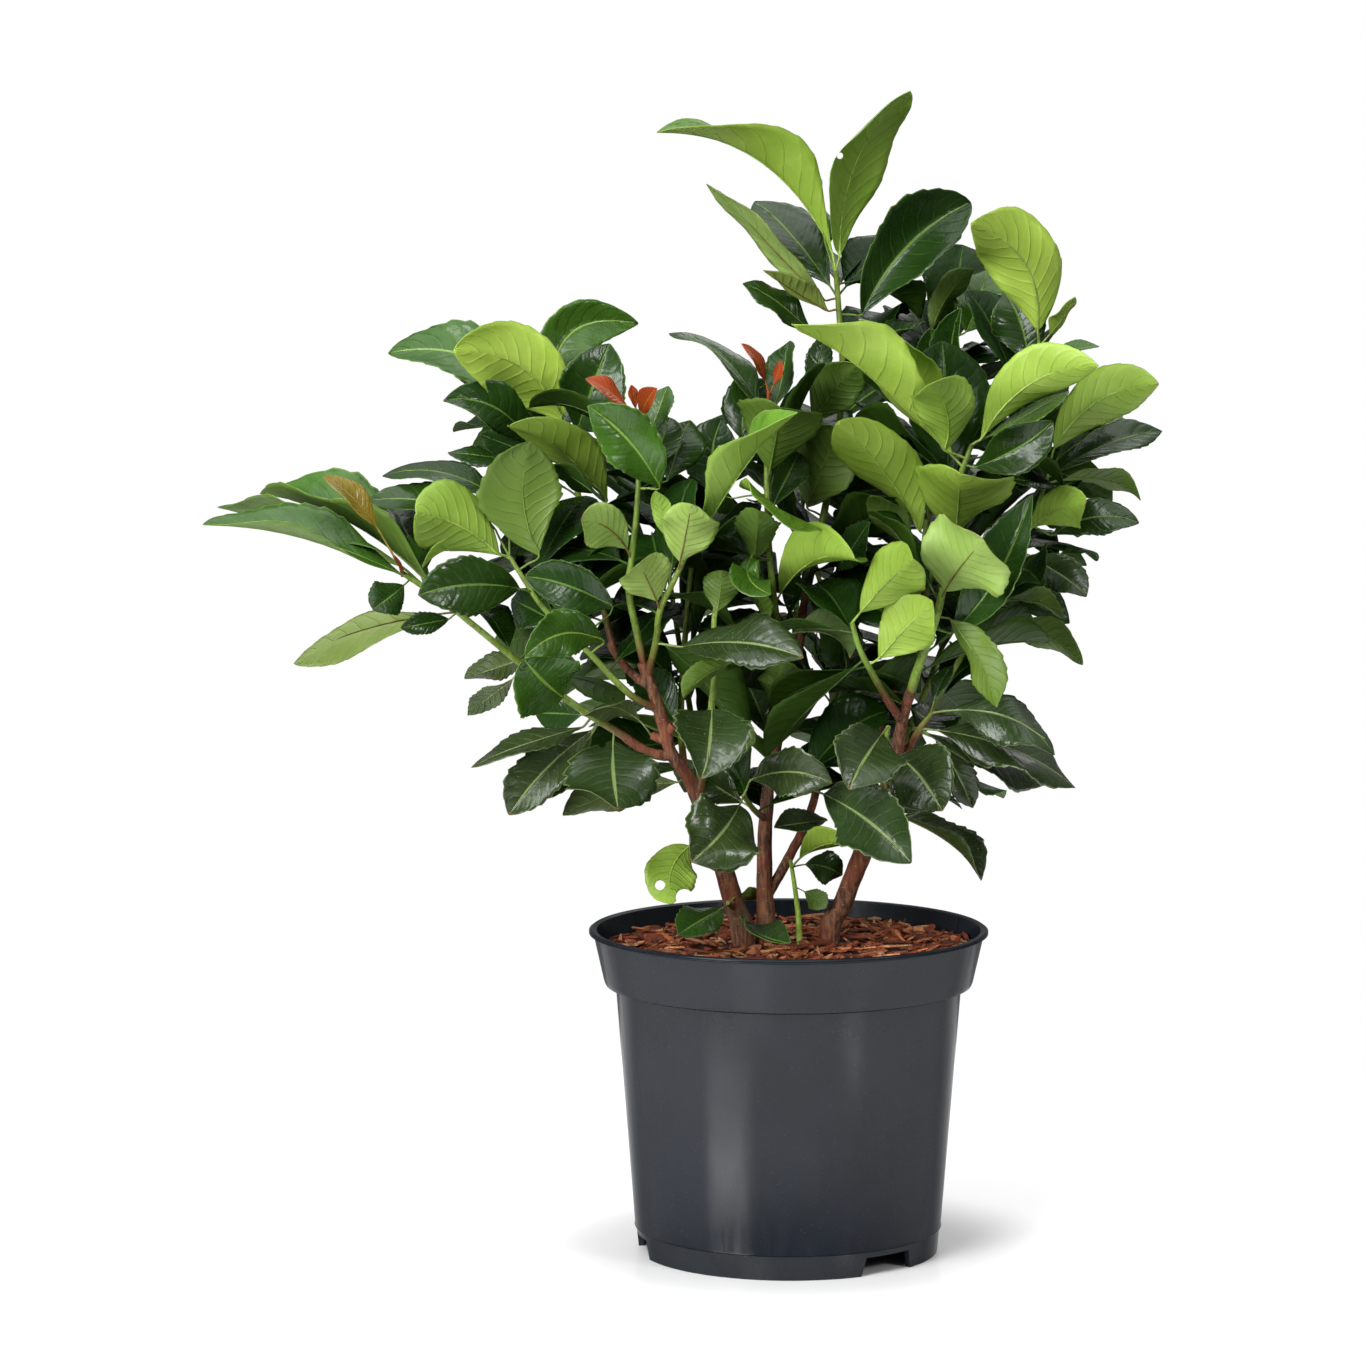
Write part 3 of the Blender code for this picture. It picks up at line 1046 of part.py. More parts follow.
def draw_back_leaf(path, number, count, lean, draw):
    """One draw of a back leaf: its place goes up the stem with a turn of two fifths for each leaf."""
    first, reach = BACK_PLACES
    spot = (first + reach * (number + draw.random()) / count) * (len(path) - 1)
    low = min(int(spot), len(path) - 2)
    root = path[low] + (path[low + 1] - path[low]) * (spot - low)
    turn = math.radians(BACK_TURN * number + draw.uniform(-BACK_TURN, BACK_TURN) / 2)
    out = Vector((math.cos(turn), lean[0] + lean[1] * math.sin(turn), draw.uniform(*BACK_RISE))).normalized()
    roll = draw.uniform(-BACK_ROLL, BACK_ROLL)
    return back_leaf(root, out, draw.uniform(*BACK_LENGTH), roll, draw.uniform(*BACK_DROOP))


def add_leaf(placed, leaves, node, shape):
    rings = leaf_rings(*shape)
    faces = leaf_faces(rings)
    placed.add(node, "leaf", rings, faces)
    leaves[node].append((rings, faces))


# Putting it together

def keep_largest(target):
    """Drops loose scraps that a cut leaves, so that one body remains."""
    mesh = bmesh.new()
    mesh.from_mesh(target.data)
    left = set(mesh.verts)
    groups = []
    while left:
        group, edge = set(), [left.pop()]
        while edge:
            point = edge.pop()
            group.add(point)
            for link in point.link_edges:
                other = link.other_vert(point)
                if other in left:
                    left.discard(other)
                    edge.append(other)
        groups.append(group)
    groups.sort(key=len, reverse=True)
    for group in groups[1:]:
        bmesh.ops.delete(mesh, geom=list(group), context="VERTS")
    mesh.to_mesh(target.data)
    mesh.free()


def blended(node):
    """A finish for a leafy node: the mean of its leaves' tones."""
    tones = [leaf[-1] for leaf in SHOOTS[node]["leaves"]] or ["dark"]
    parts = [COLOURS[tone] for tone in tones]
    colour = tuple(sum(part[0][c] for part in parts) / len(parts) for c in range(3))
    COLOURS[node] = (colour, sum(part[1] for part in parts) / len(parts))
    return node


def make_wood(stems):
    for node in WOOD:
        fuse(node, [tube(path, radii, TRUNK_SIDES if number == 0 else STEM_SIDES)
                    for number, (path, radii) in enumerate(stems[node])], "bark")


def make_shoots(stems, leaves):
    for node, rows in SHOOTS.items():
        if not leaves[node]:
            continue
        solids = [tube(path, radii, STEM_SIDES) for path, radii in stems[node]] + leaves[node]
        shoot = fuse(node, solids, blended(node))
        if rows["host"] != "soil":
            near = [part for part in stems[rows["host"]] if reaches(part[0], solids[0][0])]
            cut(shoot, [
                add_object("host", *tube(path, [r + GAP for r in radii], TRUNK_SIDES, GAP), "bark")
                for path, radii in near
            ])
        keep_largest(shoot)


def reaches(path, points):
    """Whether a stem comes near the first ring of a shoot."""
    root = points[0]
    for start, end in zip(path, path[1:]):
        along = end - start
        share = max(0.0, min(1.0, (root - start).dot(along) / along.length_squared))
        if (start + along * share - root).length < HOST_REACH:
            return True
    return False


def main():
    for made in list(bpy.data.objects):
        bpy.data.objects.remove(made)
    stems, leaves = place_leaves()
    make_pot()
    roots = []
    for node in (*WOOD, "basal_sprout"):
        path, radii = stems[node][0]
        roots.append((path[0].x, path[0].y, path[0].z, radii[0]))
    make_compost(roots)
    make_mulch(roots)
    make_wood(stems)
    make_shoots(stems, leaves)


main()
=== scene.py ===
import math
import random

import bmesh
import bpy
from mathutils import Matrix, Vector, noise
from mathutils.bvhtree import BVHTree


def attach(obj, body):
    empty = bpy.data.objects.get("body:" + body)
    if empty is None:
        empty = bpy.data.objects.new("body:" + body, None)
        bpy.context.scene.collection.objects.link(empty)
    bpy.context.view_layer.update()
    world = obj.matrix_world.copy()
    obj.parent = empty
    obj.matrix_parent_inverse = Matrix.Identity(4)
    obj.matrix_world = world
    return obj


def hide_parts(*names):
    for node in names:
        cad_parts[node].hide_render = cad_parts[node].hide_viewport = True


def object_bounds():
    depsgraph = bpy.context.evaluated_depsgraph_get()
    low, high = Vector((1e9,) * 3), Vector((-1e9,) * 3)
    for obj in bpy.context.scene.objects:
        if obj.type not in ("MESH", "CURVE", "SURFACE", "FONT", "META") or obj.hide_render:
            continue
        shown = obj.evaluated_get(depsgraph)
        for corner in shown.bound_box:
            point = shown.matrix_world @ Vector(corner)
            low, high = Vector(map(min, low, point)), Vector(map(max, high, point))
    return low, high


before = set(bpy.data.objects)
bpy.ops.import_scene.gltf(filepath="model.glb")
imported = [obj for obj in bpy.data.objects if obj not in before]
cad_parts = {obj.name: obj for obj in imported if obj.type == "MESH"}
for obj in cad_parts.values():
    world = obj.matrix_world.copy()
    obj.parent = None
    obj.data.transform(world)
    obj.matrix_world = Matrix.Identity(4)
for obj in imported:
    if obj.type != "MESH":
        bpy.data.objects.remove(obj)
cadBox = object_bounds()

# A potted cherry laurel. Plant sizes are in mm as seen from the front, in the plane of the pot's axis,
# with a depth; seenPoint takes them to their true place along the line of sight.
mm = 0.001
eye = Vector((-0.0608, -2.8, 0.6265))
rearEye = Vector((0.0, 2.8, 0.63))
photo = {"pitch": 6.06, "width": 1366, "focal": 4911, "sensor": 36}  # degrees down, pixels, pixels, mm

pot = {
    "height": 0.1875, "rimRadius": 0.115, "collarTop": 0.1124, "collarFoot": 0.1065, "collarFootZ": 0.1565,
    "bodyTop": 0.0996, "bodyFoot": 0.0885, "footRadius": 0.0866, "bandZ": 0.015, "wall": 0.0018,
    "floorZ": 0.0115, "centreFoot": 0.020,
    "notchAngles": (-50.0, -170.0, 70.0), "notchWidth": 0.032, "notchHeight": 0.0108, "notchDepth": 0.024,
    "notchFlare": 1.2, "drainHoles": 6, "drainRadius": 0.005, "drainCircle": 0.058, "drainDepth": 0.012,
}
mulch = {"top": 0.1765, "relief": 0.0020, "mound": 0.003, "moundSpread": 0.0025, "shreds": 820, "flakes": 420}
soil = {"stemFoot": 0.190, "rootBottom": 0.128, "sproutBottom": 0.155}
blade = {
    "widthShare": 0.42, "backWidthShare": 0.52, "ribThickness": 1.4 * mm, "tipThickness": 0.7 * mm,
    "stalkLength": 9.0 * mm, "stalkWidth": 2.2 * mm, "mostStalk": 0.25, "fold": 0.22, "arch": 0.06,
    "outline": (1.2, 0.68), "tooth": 0.05, "toothFrom": 0.3, "pathSteps": 8,
    "shortLeaf": 66 * mm, "shortStations": (0.30, 0.74), "stations": (0.17, 0.48, 0.82),
    "longLeaf": 105 * mm, "longStations": (0.12, 0.38, 0.66, 0.88),
    "clearance": 0.6 * mm, "rimClearance": 8 * mm, "mulchClearance": 4 * mm, "stemSides": 5,
    "scales": (1.0, 0.9, 0.8), "rolls": (0, 12, -12, 24, -24), "shiftStep": 4, "shiftSteps": 10,
    "backTries": 100, "leastGain": 3, "backSeed": 100, "backPlaces": (0.2, 0.75), "backTurn": 144,
    "backLean": (0.85, 0.7), "rearLean": (0.3, 1.0), "backRise": (-0.5, 1.0), "backRoll": 0.6,
    "backLength": (62 * mm, 100 * mm), "backDroop": (0.03, 0.12),
}


def seenPoint(x, y, z):
    seen = Vector((x * mm, 0.0, z * mm))
    return eye + (seen - eye) * ((y * mm - eye.y) / -eye.y)


def seenFromFront(point):
    sight = point - eye
    seen = eye + sight * (-eye.y / sight.y)
    return seen.x / mm, seen.z / mm


def circled(radius, turn, z=0.0):
    return Vector((radius * math.cos(turn), radius * math.sin(turn), z))


# Common moves

def choose(piece, *others):
    if bpy.context.object and bpy.context.object.mode != "OBJECT":
        bpy.ops.object.mode_set(mode="OBJECT")
    bpy.ops.object.select_all(action="DESELECT")
    for one in (*others, piece):
        one.select_set(True)
    bpy.context.view_layer.objects.active = piece


def editAll(piece):
    choose(piece)
    bpy.ops.object.mode_set(mode="EDIT")
    bpy.ops.mesh.select_all(action="SELECT")


def justMade(name):
    made = bpy.context.object
    made.name = made.data.name = name
    return made


def putIn(name, data):
    made = bpy.data.objects.new(name, data)
    bpy.context.scene.collection.objects.link(made)
    return made


def applyPlace(piece):
    choose(piece)
    bpy.ops.object.transform_apply(location=True, rotation=True, scale=True)


def applyModifiers(piece):
    choose(piece)
    for modifier in list(piece.modifiers):
        bpy.ops.object.modifier_apply(modifier=modifier.name)


def joinAll(pieces, name):
    choose(pieces[0], *pieces[1:])
    bpy.ops.object.join()
    return justMade(name)


def dress(piece, *materials):
    piece.data.materials.clear()
    for material in materials:
        piece.data.materials.append(material)


def smooth(piece):
    choose(piece)
    bpy.ops.object.shade_smooth()


def finishPiece(piece, node):
    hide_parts(node)
    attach(piece, "root")


# Materials

class Graph:
    # a short way to write the nodes of a material, or of the sky
    def __init__(self, name, tree=None):
        self.tree = tree
        if tree is None:
            self.material = bpy.data.materials.new(name)
            self.material.use_nodes = True
            self.tree = self.material.node_tree
            self.shader = self.tree.nodes["Principled BSDF"]

    def add(self, kind, inputs=(), **settings):
        node = self.tree.nodes.new("ShaderNode" + kind)
        for key, value in settings.items():
            setattr(node, key, value)
        for key, value in dict(inputs).items():
            self.feed(node.inputs[key], value)
        return node

    def feed(self, socket, value):
        if isinstance(value, bpy.types.NodeSocket):
            self.tree.links.new(value, socket)
        else:
            socket.default_value = value

    def math(self, operation, *values):
        node = self.add("Math", operation=operation)
        for socket, value in zip(node.inputs, (*values, 0.0, 0.0)):
            self.feed(socket, value)
        return node.outputs[0]

    def plus(self, a, b):
        return self.math("ADD", a, b)

    def minus(self, a, b):
        return self.math("SUBTRACT", a, b)

    def times(self, a, b, more=None):
        return self.math("MULTIPLY", a, b) if more is None else self.math("MULTIPLY_ADD", a, b, more)

    def ramp(self, value, low, high):
        inputs = {"Value": value, "From Min": low, "From Max": high}
        return self.add("MapRange", inputs, interpolation_type="SMOOTHSTEP").outputs["Result"]

    def mix(self, share, first, second, blendType="MIX"):
        node = self.add("Mix", data_type="RGBA", blend_type=blendType)
        for key, value in {"Factor": share, "A": first, "B": second}.items():
            self.feed(node.inputs[key], value)
        return node.outputs["Result"]

    def over(self, colour, mask, amount, other):
        return self.mix(self.times(mask, amount), colour, other)

    def tint(self, colour, red, green, blue):
        return self.mix(1.0, colour, (red, green, blue, 1.0), "MULTIPLY")

    def attribute(self, name, part="Color"):
        return self.add("Attribute", attribute_name=name).outputs[part]

    def noise(self, place, scale, detail=3.0, roughness=0.5):
        inputs = {"Vector": place, "Scale": scale, "Detail": detail, "Roughness": roughness}
        return self.add("TexNoise", inputs).outputs["Fac"]

    def patches(self, place, scale, detail, low, high):
        return self.ramp(self.noise(place, scale, detail), low, high)

    def stretch(self, place, scale):
        return self.add("Mapping", {"Vector": place, "Scale": scale}).outputs["Vector"]

    def place(self, *scale):
        spot = self.add("TexCoord").outputs["Object"]
        return self.stretch(spot, scale) if scale else spot

    def split(self, vector):
        return self.add("SeparateXYZ", {"Vector": vector}).outputs

    def facing(self):
        return self.add("LayerWeight", {"Blend": 0.5}).outputs["Facing"]

    def bump(self, height, strength, distance, under=None):
        node = self.add("Bump", {"Height": height, "Strength": strength, "Distance": distance})
        if under is not None:
            self.feed(node.inputs["Normal"], under)
        return node.outputs["Normal"]

    def finish(self, colour, roughness, specular, normal=None, glow=0.0):
        inputs = {"Base Color": colour, "Roughness": roughness, "Specular IOR Level": specular,
                  "Emission Strength": glow}
        if normal is not None:
            inputs["Normal"] = normal
        for key, value in inputs.items():
            self.feed(self.shader.inputs[key], value)
        return self.material


def rgb(red, green, blue):
    # a colour as a picture editor shows it, 0 to 255, made linear
    shares = [value / 255 for value in (red, green, blue)]
    return (*(s / 12.92 if s <= 0.04045 else ((s + 0.055) / 1.055) ** 2.4 for s in shares), 1.0)


# The crown's dense part as seen from the front, in mm: leaves that fill the back stay inside it
crownOutline = (
    (-183, 289), (-116, 262), (-61, 258), (-10, 250), (57, 252), (112, 258), (160, 280), (118, 318),
    (120, 348), (165, 352), (175, 385), (200, 438), (208, 480), (160, 524), (146, 590), (105, 598), (50, 600),
    (10, 595), (-36, 612), (-14, 565), (10, 536), (-10, 500), (-61, 478), (-84, 488), (-116, 512),
    (-139, 540), (-194, 530), (-222, 518), (-192, 485), (-228, 450), (-216, 425), (-222, 393),
    (-190, 373), (-183, 337), (-163, 325),
)

# Wood: each stem is a row of x, depth, z and radius, in mm
woodStems = {
    "trunk_left": [
        [(-27, -8, 185, 6.5), (-31, -10, 200, 6.1), (-36, -12, 218, 5.5), (-42, -14, 238, 5.3),
         (-50, -18, 257, 5.0), (-58, -20, 275, 3.9), (-68, -22, 290, 3.8), (-72, -24, 305, 3.6),
         (-77, -26, 322, 3.4), (-84, -28, 341, 3.2)],
        [(-66, -22, 287, 3.2), (-80, -24, 289, 3.0), (-90, -24, 295, 2.7), (-98, -24, 301, 2.4)],
        [(-80, -27, 328, 2.8), (-88, -18, 333, 2.6), (-96, -8, 341, 2.3), (-103, 0, 352, 2.1)],
        [(-71, -23, 300, 3.0), (-66, -26, 305, 2.8)],
        [(-71, -23, 296, 3.0), (-79, -21, 299, 2.6)],
    ],
    "trunk_centre": [
        [(-13, -2, 183, 5.5), (-14, -2, 220, 4.5), (-13, -2, 255, 3.9), (-10, 0, 285, 3.3),
         (-5, 2, 305, 3.0), (2, 6, 330, 2.8), (5, 8, 345, 2.7), (8, 12, 372, 2.5)],
        [(-14, -2, 203, 3.2), (-7, 0, 215, 3.0), (2, 6, 232, 2.8), (9, 12, 246, 2.6),
         (16, 22, 268, 2.4), (20, 30, 300, 2.2)],
    ],
    "trunk_right": [
        [(25, 5, 183, 6.2), (30, 3, 199, 5.8), (37, 0, 217, 5.4), (45, -4, 237, 6.0),
         (56, -10, 266, 4.9), (62, -18, 290, 3.8), (65, -24, 307, 3.2), (70, -36, 325, 2.9)],
        [(44, -3, 236, 4.2), (45, 8, 270, 3.7), (52, 20, 300, 3.3), (62, 28, 325, 3.0),
         (70, 32, 342, 2.8), (77, 22, 372, 2.2)],
        [(59, -14, 278, 2.9), (72, -14, 296, 2.4), (77, -14, 304, 2.1)],
        [(65, -24, 307, 2.8), (56, -40, 320, 2.3)],
        [(69, 31, 339, 2.5), (81, 43, 372, 2.1)],
        [(69, 31, 339, 2.5), (73, 45, 372, 2.0)],
    ],
}

# Shoots: the node that carries each one, how many leaves the back gets, its stem's first and last
# radius, its stem as rows of x, depth and z, and its leaves. One with no stem is a leaf set on wood.
# A leaf is the x and z of its base, of a point that it passes, where one is given, and of its tip,
# then the width seen, below zero where the lower face shows, the depth of its tip and its tone.
shoots = {
    "shoot_far_left": ("trunk_left", 5, (2.3, 1.5),
        [(-92, -24, 297), (-125, -34, 318), (-152, -42, 339), (-180, -48, 362), (-200, -50, 378),
         (-222, -50, 393)],
        [(-214, 387, -275, 412, -335, 422, 16, -75, "mid"),
         (-205, 381, -270, 423, -326, 433, 24, -25, "mid"), (-198, 376, -258, 425, -302, 438, 20, 20, "mid"),
         (-190, 368, -233, 363, -286, 343, -20, -95, "pale"), (-195, 366, -222, 361, 13, -70, "dark"),
         (-216, 388, -238, 372, 22, -85, "dark"), (-206, 384, -227, 433, 24, 0, "dark"),
         (-127, 315, -152, 343, 47, -75, "mid"), (-118, 304, -150, 294, -183, 282, 15, -60, "old"),
         (-113, 302, -138, 281, -161, 253, 32, -75, "old"), (-113, 300, -147, 261, -22, -40, "old"),
         (-100, 301, -101, 280, -98, 257, 52, -85, "old"), (-150, 344, -186, 332, -18, -20, "old"),
         (-112, 311, -146, 312, 20, 0, "dark"), (-158, 332, -184, 312, -12, -10, "old"),
         (-140, 358, -168, 352, -25, 10, "dark")]),
    "shoot_left_low": ("trunk_left", 5, (2.2, 1.3),
        [(-75, -26, 315), (-86, -30, 319), (-97, -32, 328), (-112, -34, 344), (-128, -36, 360),
         (-142, -38, 374), (-150, -36, 386), (-160, -32, 402)],
        [(-166, 403, -192, 421, -214, 427, -49, -70, "lime"),
         (-146, 382, -180, 386, -212, 380, 34, -85, "dark"),
         (-143, 402, -152, 435, -148, 469, -47, -45, "olive"),
         (-101, 373, -126, 385, -151, 391, 29, -65, "dark"),
         (-106, 353, -128, 358, -150, 345, 27, -80, "mid"),
         (-160, 398, -188, 408, -212, 396, -9, -75, "lime"),
         (-170, 420, -205, 433, -242, 434, 22, -20, "dark"), (-128, 362, -160, 378, 26, 10, "dark"),
         (-160, 430, -195, 449, -233, 450, 16, -5, "dark")]),
    "shoot_left_top": ("trunk_left", 5, (2.1, 1.4),
        [(-100, -3, 347), (-108, 10, 380), (-116, 18, 420), (-126, 20, 455), (-135, 18, 480)],
        [(-130, 479, -150, 508, -193, 519, -47, -35, "bright"),
         (-134, 486, -124, 530, -86, 535, 34, 45, "mid"), (-138, 484, -190, 518, -229, 519, 32, 25, "mid"),
         (-122, 473, -112, 500, -103, 524, 43, 15, "dark"),
         (-146, 463, -172, 489, -197, 492, 28, -20, "dark"), (-138, 488, -152, 529, 9, 60, "dark"),
         (-140, 458, -177, 472, 18, 0, "dark"), (-104, 434, -122, 455, -160, 481, -29, -60, "lime"),
         (-150, 456, -195, 462, 9, 20, "dark")]),
    "shoot_left_red": ("trunk_left", 5, (2.2, 1.4),
        [(-83, -28, 339), (-88, -35, 362), (-92, -42, 385), (-90, -44, 402), (-87, -44, 430),
         (-86, -42, 452), (-86, -40, 472)],
        [(-74, 441, -90, 466, -115, 488, 34, -70, "mid"), (-90, 399, -102, 417, -121, 424, -27, -85, "pale"),
         (-83, 462, -70, 500, 16, -30, "mid"), (-78, 452, -68, 483, 25, -20, "dark"),
         (-70, 445, -57, 482, 29, -22, "dark")]),
    "shoot_left_front": ("trunk_left", 4, (2.2, 1.4),
        [(-81, -27, 333), (-76, -42, 355), (-74, -52, 371), (-66, -56, 388), (-58, -54, 405)],
        [(-63, 391, -60, 411, -56, 432, -34, -85, "pale"), (-75, 372, -80, 386, -87, 399, -31, -90, "pale"),
         (-54, 408, -28, 450, 2, 487, -11, -100, "lime"), (-68, 410, -76, 440, -12, -62, "lime"),
         (-61, 350, -25, 352, 8, 344, 27, -95, "old")]),
    "shoot_centre": ("trunk_centre", 7, (2.2, 1.4),
        [(1, 5, 326), (-6, -8, 360), (-11, -14, 400), (-13, -12, 450), (-12, -8, 490)],
        [(-12, 446, -8, 468, -4, 490, -52, -55, "olive"), (-7, 377, 8, 396, 40, 403, -29, -90, "lime"),
         (-14, 476, -37, 514, -68, 533, 15, 30, "dark"), (-11, 478, -5, 500, -2, 526, 19, 20, "dark"),
         (-36, 436, -44, 458, -38, 481, 34, -15, "dark"), (-26, 468, -25, 488, -10, 503, 27, 5, "dark"),
         (-20, 400, -17, 429, -27, -75, "olive"), (-20, 404, -24, 392, -11, 381, 18, -85, "mid"),
         (-1, 356, 15, 359, 37, 344, -12, -60, "old"), (-12, 362, -24, 395, -11, -60, "olive"),
         (-13, 425, 6, 462, 26, 30, "dark")]),
    "shoot_top": ("trunk_centre", 6, (2.4, 1.5),
        [(7, 11, 368), (14, 22, 400), (24, 34, 450), (30, 38, 500), (28, 36, 540), (26, 34, 565)],
        [(28, 572, 36, 623, 66, 669, -29, -5, "lime"), (24, 575, -7, 619, -75, 647, -20, -10, "lime"),
         (41, 540, 67, 579, 103, 604, 50, 55, "dark"), (20, 548, -14, 582, -44, 617, -15, 20, "pale"),
         (24, 550, 5, 580, -20, 606, 38, 70, "dark"), (25, 562, 18, 590, 13, 622, 10, 50, "mid"),
         (12, 530, -6, 546, -26, 559, 16, 20, "dark"), (22, 542, 3, 553, -15, 565, -13, 5, "pale"),
         (13, 479, 26, 498, 40, 513, -29, 10, "olive"), (12, 494, 20, 530, 16, 50, "dark"),
         (10, 430, 20, 455, 28, 478, -43, -30, "olive"), (20, 436, 60, 442, 36, 70, "dark"),
         (11, 413, -2, 425, -18, 440, -13, -70, "lime"), (26, 392, 46, 422, 18, -30, "dark"),
         (40, 516, 77, 537, 8, 60, "dark")]),
    "shoot_right_main": ("trunk_right", 6, (2.2, 1.4),
        [(76, 24, 367), (78, 18, 380), (86, 0, 405), (93, -15, 432), (99, -25, 453), (104, -28, 466)],
        [(95, 454, 55, 497, 3, 539, -27, -95, "bright"), (95, 414, 98, 450, -60, -105, "lime"),
         (88, 463, 66, 508, 40, 539, -31, -55, "lime"), (109, 469, 136, 500, 177, 513, -31, -60, "bright"),
         (105, 453, 128, 463, 150, 479, 31, -45, "dark"), (75, 416, 56, 448, 27, 479, -36, -75, "lime"),
         (89, 463, 90, 483, 80, 503, -38, -70, "lime"), (70, 408, 46, 438, -19, -40, "olive"),
         (108, 466, 158, 497, 13, -30, "olive")]),
    "shoot_right_back": ("trunk_right", 5, (2.0, 1.3),
        [(72, 43, 368), (76, 50, 400), (82, 62, 450), (90, 66, 500), (92, 66, 526)],
        [(80, 528, 88, 548, 104, 566, -15, 60, "olive"), (100, 530, 108, 550, 112, 567, 29, 75, "mid"),
         (94, 496, 92, 520, 96, 543, 25, 20, "dark"), (84, 500, 80, 532, 20, 35, "dark"),
         (74, 385, 100, 362, 24, 60, "dark")]),
    "shoot_right_top": ("trunk_right", 5, (2.1, 1.4),
        [(79, 42, 368), (88, 48, 390), (108, 55, 440), (128, 52, 485), (142, 45, 522)],
        [(141, 531, 134, 568, 102, 593, -46, -5, "bright"), (135, 503, 133, 530, 122, 553, 34, 60, "dark"),
         (145, 522, 162, 550, -9, 30, "lime"), (146, 516, 176, 523, 8, 50, "mid")]),
    "shoot_right": ("trunk_right", 5, (2.0, 1.3),
        [(75, -14, 300), (84, -8, 318), (95, 0, 338), (110, 10, 365), (125, 15, 395), (138, 18, 420),
         (147, 18, 447)],
        [(151, 464, 176, 491, 212, 501, -36, -20, "lime"), (134, 416, 152, 428, 171, 431, -27, -35, "lime"),
         (150, 414, 178, 425, 200, 422, 21, -5, "dark"), (149, 443, 178, 446, 202, 436, -13, 20, "olive"),
         (147, 450, 168, 474, 190, 483, 8, 10, "dark"), (152, 450, 186, 468, 213, 475, 18, 45, "dark"),
         (152, 442, 126, 447, 10, -10, "dark"), (112, 356, 140, 358, 170, 341, -17, 0, "olive"),
         (114, 374, 136, 377, 157, 367, -9, 20, "olive"), (132, 402, 150, 395, 170, 379, 23, -15, "old")]),
    "shoot_right_front": ("trunk_right", 3, (2.9, 2.1),
        [(69, -33, 321), (73, -42, 335), (79, -52, 352), (85, -58, 370), (88, -60, 384)],
        [(87, 376, 98, 396, 112, 412, -56, -110, "pale"), (93, 358, 120, 392, 136, 438, 36, -70, "dark"),
         (92, 366, 106, 347, 120, 315, -21, -95, "olive")]),
    "shoot_right_front_low": ("trunk_right", 5, (2.1, 1.4),
        [(58, -37, 317), (47, -56, 336), (40, -64, 350), (36, -66, 364)],
        [(38, 367, 54, 385, 73, 402, -38, -110, "lime"), (51, 343, 66, 360, 83, 377, -34, -90, "lime")]),
    "shoot_inner": ("trunk_left", 7, (2.4, 1.4),
        [(-52, -18, 262), (-47, -38, 290), (-44, -50, 320), (-42, -50, 345), (-43, -44, 365),
         (-40, -40, 382)],
        [(-42, 321, -45, 300, -48, 277, 49, -95, "old"), (-32, 342, -44, 336, -62, 321, -15, -80, "olive"),
         (-34, 290, -21, 306, -17, -60, "olive"), (-42, 362, -38, 395, -22, -65, "olive")]),
    "shoot_back_left": ("trunk_left", 7, (2.2, 1.3),
        [(-60, -20, 279), (-62, 8, 306), (-60, 32, 350), (-56, 42, 395), (-52, 46, 430)],
        [(-60, 300, -84, 338, 26, 30, "dark")]),
    "spur_right_low": ("trunk_right", 3, (2.0, 1.3),
        [(69, -14, 292), (75, -26, 303), (82, -30, 312)],
        [(83, 313, 120, 311, 155, 290, 28, -60, "old"), (78, 301, 125, 292, 165, 269, 25, -30, "old"),
         (80, 300, 120, 286, 149, 272, 13, -5, "old"), (79, 313, 93, 340, 11, -20, "dark"),
         (84, 297, 96, 278, 106, 256, 20, -15, "old")]),
    "spur_centre_low": ("trunk_centre", 2, (2.0, 1.4),
        [(-13, -2, 250), (-20, -20, 256), (-26, -34, 264)],
        [(-22, 273, 0, 278, 23, 272, 31, -80, "old"), (-25, 266, -36, 246, -55, 227, 47, -85, "old"),
         (-20, 256, -52, 276, 24, 0, "old")]),
    "spur_centre_right": ("trunk_centre", 3, (2.0, 1.4),
        [(-11, -1, 278), (0, -28, 272), (13, -44, 268)],
        [(14, 268, 45, 250, 69, 226, 47, -100, "old")]),
    "spur_right": ("trunk_right", 3, (2.0, 1.4),
        [(55, -10, 263), (54, -34, 284), (57, -48, 304)],
        [(57, 307, 47, 291, 36, 272, 43, -100, "old"), (56, 291, 74, 277, 86, 256, 43, -75, "old")]),
    "spur_back": ("trunk_centre", 8, (2.0, 1.4),
        [(19, 29, 296), (24, 34, 314), (26, 42, 336), (24, 50, 362), (14, 56, 400)],
        [(26, 310, 32, 345, 18, 371, 27, 10, "dark"), (28, 302, 5, 303, 10, -4, "dark")]),
    "basal_sprout": ("soil", 0, (1.7, 1.1),
        [(6, -8, 185), (5, -8, 200), (3, -8, 215), (1, -8, 227)],
        [(2, 222, 18, 235, 38, 236, -15, -50, "lime"), (1, 222, 16, 224, 31, 218, 19, 10, "dark"),
         (6, 212, 22, 199, -13, -5, "dark")]),
    "foot_leaves": ("trunk_left", 0, (1.8, 1.3),
        [(-30, -10, 197), (-33, -18, 200), (-35, -24, 202)],
        [(-35, 200, -48, 193, -63, 184, 20, -70, "dark"), (-30, 196, -18, 184, 0, 180, 10, -62, "dark"),
         (-30, 206, -15, 206, -9, 8, "mid")]),
    "leaf_low_left": ("trunk_left", 0, None,
        [], [(-57, 235, -67, 222, -67, 201, -30, -60, "lime")]),
    "leaf_mid_left": ("trunk_left", 0, None,
        [], [(-64, 272, -97, 267, -130, 253, -28, -30, "old")]),
    "leaf_upper_left": ("trunk_left", 0, None,
        [], [(-79, 302, -98, 315, -118, 311, -13, -50, "old")]),
    "leaf_centre_upright": ("trunk_centre", 0, None,
